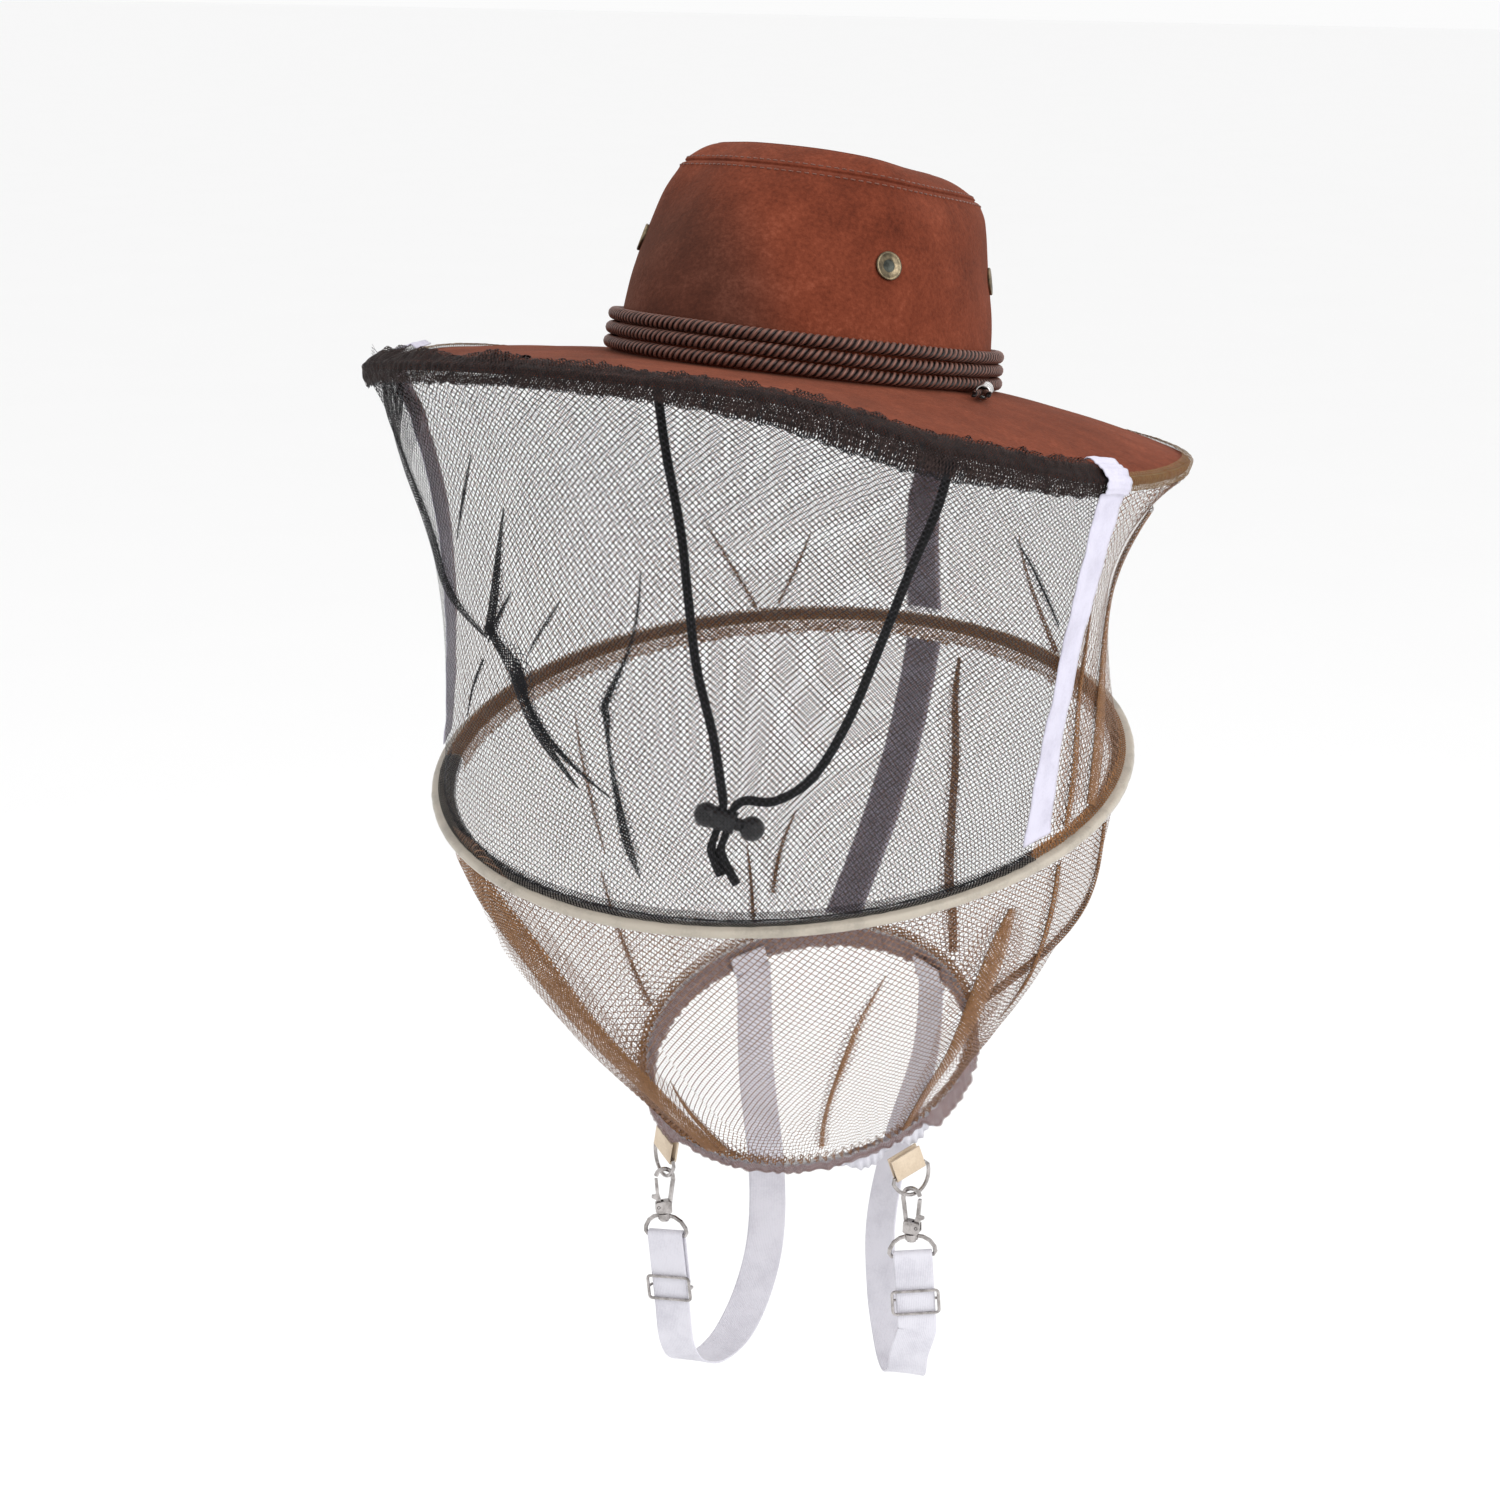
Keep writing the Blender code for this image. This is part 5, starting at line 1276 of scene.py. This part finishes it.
def build_neck():
    shell = Shell()
    steps = 720
    half = HEM_THICKNESS / 2
    for layer in (0, 1):
        rows = []
        for k in range(steps):
            angle = 360 * k / steps
            s = angle * 0.0015
            gather = 0.0007 * math.sin(math.tau * s / 0.0064 + 5 * wander(s * 60, 1))
            gather += 0.0010 * wander(s * 230, 2)
            low = -HEM_HEIGHT / 2 + hem_rise(angle) + hem_lift(angle) + 0.0014 * wander(s * 120, 4)
            low = min(low, HEM_HEIGHT / 2 - 0.0030)
            top = HEM_HEIGHT / 2 + 0.0004
            inset = 0.0006 * layer
            section = [(half + 0.0002, top), (half + 0.0012, top * 0.6), (half + 0.0006, (top + low) / 2),
                       (half + 0.0008, low + 0.002), (half * 0.4, low), (-half * 0.4, low),
                       (-half - 0.0006, low + 0.002), (-half - 0.0004, (top + low) / 2), (-half - 0.0008, top * 0.6),
                       (-half, top)]
            outline = rounded(section, 2)
            row = []
            for j, (o, w) in enumerate(outline):
                wave = gather * (0.9 + 0.5 * wander(j * 0.3, s * 90))
                row.append(neck_point(angle, o + wave - math.copysign(inset, o), w))
            rows.append(row)
        shell.grid(rows, across=[k * 0.0015 + layer * 0.31 for k in range(steps + 1)], wrap_u=True)
    hem = shell.make("neck_hem_gathers", BROWN_GATHER, body="hoop", replaces=("neck_hem_casing",),
                     slot_name="brown_net")

    shell = Shell()
    rows = []
    for k in range(steps):
        angle = 360 * k / steps
        s = angle * 0.0015
        crimp = 0.0007 * math.sin(math.tau * s / 0.0040 + 2 * wander(s * 60, 11))
        low = -HEM_HEIGHT / 2 + 0.0010 + hem_rise(angle) * (1 - elastic_bared(angle))
        middle = low / 2 + HEM_HEIGHT / 4
        high = HEM_HEIGHT / 2 - 0.0014
        section = [(-0.0007, low), (0.0007, low), (0.0010, middle),
                   (0.0007, high), (-0.0007, high), (-0.0006, middle)]
        rows.append([neck_point(angle, o + crimp, w) for o, w in section])
    shell.grid(rows, wrap_u=True, wrap_v=True)
    shell.make("neck_elastic_band", ELASTIC, body="hoop", replaces=("neck_elastic",), slot_name="white_elastic")
    return hem


# ---- straps -------------------------------------------------------------------------------------
def tab_frame(side):
    """Where a front tab holds its D-ring: X along the hem, Z up."""
    angle = NECK_FRONT_HEADING + SIDES[side] * TAB_SPREAD
    foot = neck_point(angle, 0, -HEM_HEIGHT / 2)
    across = (neck_point(angle + 1) - neck_point(angle - 1)).normalized()
    up = across.cross(-heading(angle)).normalized()
    inward = up.cross(across)
    matrix = Matrix((across, inward, up)).transposed().to_4x4()
    matrix.translation = foot - up * (TAB_DROP + 0.0012)
    return matrix


def bar_frame(side):
    """The straight bar of a strap ring, which hangs under its clip."""
    matrix = tab_frame(side)
    low = min((matrix @ Vector((D_RING_HALF_WIDTH * math.sin(t), 0, -D_RING_DEPTH * math.cos(t)))
               for t in around(-1.2, 1.2, 480)), key=lambda p: p.z)
    foot = low + PLUMB * (D_RING_WIRE + CLIP_WIRE + JAW_PLAY - CLIP_HEIGHT)
    swing = Matrix.Rotation(math.radians(RING_SWING[side]), 4, "Y")
    turn = Matrix.Rotation(math.radians(RING_FACING[side]), 4, "Z")
    return Matrix.Translation(foot - PLUMB * 0.0019) @ turn @ swing @ Matrix.Translation((0, 0, -RING_DROP))


def strap_spots(side):
    """Middle line and width direction of a strap, as the CAD strap runs."""
    matrix = bar_frame(side)
    reach = RING_WIRE + GAP + STRAP_THICKNESS / 2
    tail = -SLIDER_DROP[side] + 0.0012
    path = [(reach, z) for z in around(tail, 0, 16)[:-1]]
    path += [(reach * math.cos(a), reach * math.sin(a)) for a in around(0, math.pi, 12)]
    path += [(-reach, z) for z in around(0, -STRAP_STRAIGHT, 24)[1:]]
    points = [matrix @ Vector((0, y, z)) for y, z in path]
    sideways = matrix.to_3x3() @ Vector((1, 0, 0))
    widths = [sideways] * len(points)
    front = matrix @ Vector((0, -reach, 0))
    before = matrix @ Vector((0, -reach, -STRAP_STRAIGHT * 5 / 6))
    loose = [before, points[-1]]
    turns = [RING_FACING[side]] * 2
    for (x, y, z), facing in STRAP_ROUTES[side]:
        loose.append(front + Vector((x, y, z)))
        turns.append(facing)
    rear = NECK_FRONT_HEADING + 180 - SIDES[side] * STRAP_REAR_SPREAD
    sewn = math.remainder(rear + 180, 360)
    inset = -(HEM_THICKNESS / 2 + STRAP_THICKNESS / 2 + 0.0022)
    for up in (-0.016, -0.006, 0.005):
        loose.append(neck_point(rear, inset, up))
        turns.append(sewn)
    per_span = 10
    for i, point in enumerate(smooth_route(loose, per_span)[per_span + 1:]):
        place = (i + per_span + 1) / per_span
        low = min(int(place), len(turns) - 2)
        a = math.radians(turns[low] + (turns[low + 1] - turns[low]) * (place - low))
        points.append(point)
        widths.append(Vector((math.cos(a), math.sin(a), 0)))
    return points, widths


def build_straps():
    made = {}
    for side in SIDES:
        points, widths = strap_spots(side)
        guides = frames(points, False, lambda i: widths[i])
        half = STRAP_WIDTH / 2
        thick = STRAP_THICKNESS / 2
        outline = [(-half, 0.0), (-half + 0.0004, thick)] + [(x * half, thick) for x in around(-0.9, 0.9, 12)] \
            + [(half - 0.0004, thick), (half, 0.0), (half - 0.0004, -thick)] \
            + [(x * half, -thick) for x in around(0.9, -0.9, 12)] + [(-half + 0.0004, -thick)]
        rows = []
        for i, (_, across, up) in enumerate(guides):
            scallop = 1 + 0.006 * wander(i * 0.7, half)
            rows.append([points[i] + across * (x * scallop) + up * y for x, y in outline])
        shell = Shell()
        add_capped(shell, rows, points[0], points[-1])
        strap = shell.make("arm_strap_" + side, ELASTIC, body="hoop", replaces=("strap_" + side,),
                           slot_name="white_elastic")
        made[side] = (strap, line_length(points))
    return made


def dress_cad_nodes():
    """Pieces whose CAD shape is right keep it, with finished materials."""
    looks = {"sweatband": LINING, "toggle_body": BLACK_PLASTIC, "toggle_button": BLACK_PLASTIC,
             "toggle_spring": STEEL, "hoop_wire": STEEL, "hoop_crimp_sleeve": STEEL}
    for side in SIDES:
        looks["front_tab_" + side] = BEIGE_WEB
        for start in ("d_ring_", "clip_body_", "lever_pin_", "clip_lever_", "strap_ring_", "strap_slider_"):
            looks[start + side] = NICKEL
    for name, look in looks.items():
        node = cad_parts[name]
        node.data.materials.clear()
        node.data.materials.append(look)


def main():
    set_stage()
    build_chin_cords()
    build_crown()
    build_brim()
    build_eyelets()
    build_hat_band()
    build_nets_and_edges()
    build_straps_and_hardware()


def build_nets_and_edges():
    """The nets with all that is sewn to them."""
    right, left, _, right_again = SEAMS_AT_BRIM
    front = build_casing("veil_casing_front", right, left, (BLACK_GATHER, BLACK_FOLD), 3.0, 0.0130, 0.0050,
                         0.0032, front_hang, 0.0052, 0.0018)
    rear = build_casing("veil_casing_rear", left, right_again, (OLIVE_GATHER,), 8.0, 0.0050, 0.0010,
                        0.0010, rear_hang, 0.0040, 0.0006)
    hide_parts("veil_top_casing", "veil_top_elastic")
    nets = build_nets()
    tapes, allowance = build_tapes()
    build_hoop()
    hem = build_neck()
    for node in ("face_net", "rear_net"):
        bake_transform(nets[node])
    for name in ("seam_tape_left", "seam_tape_right", "seam_tape_rear"):
        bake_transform(tapes[name][0])
    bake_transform(allowance)
    for name, (tape, length) in tapes.items():
        "brim_suede" if "seam" in name else "hoop_binding"


def build_straps_and_hardware():
    for side, (strap, length) in build_straps().items():
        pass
    dress_cad_nodes()


main()
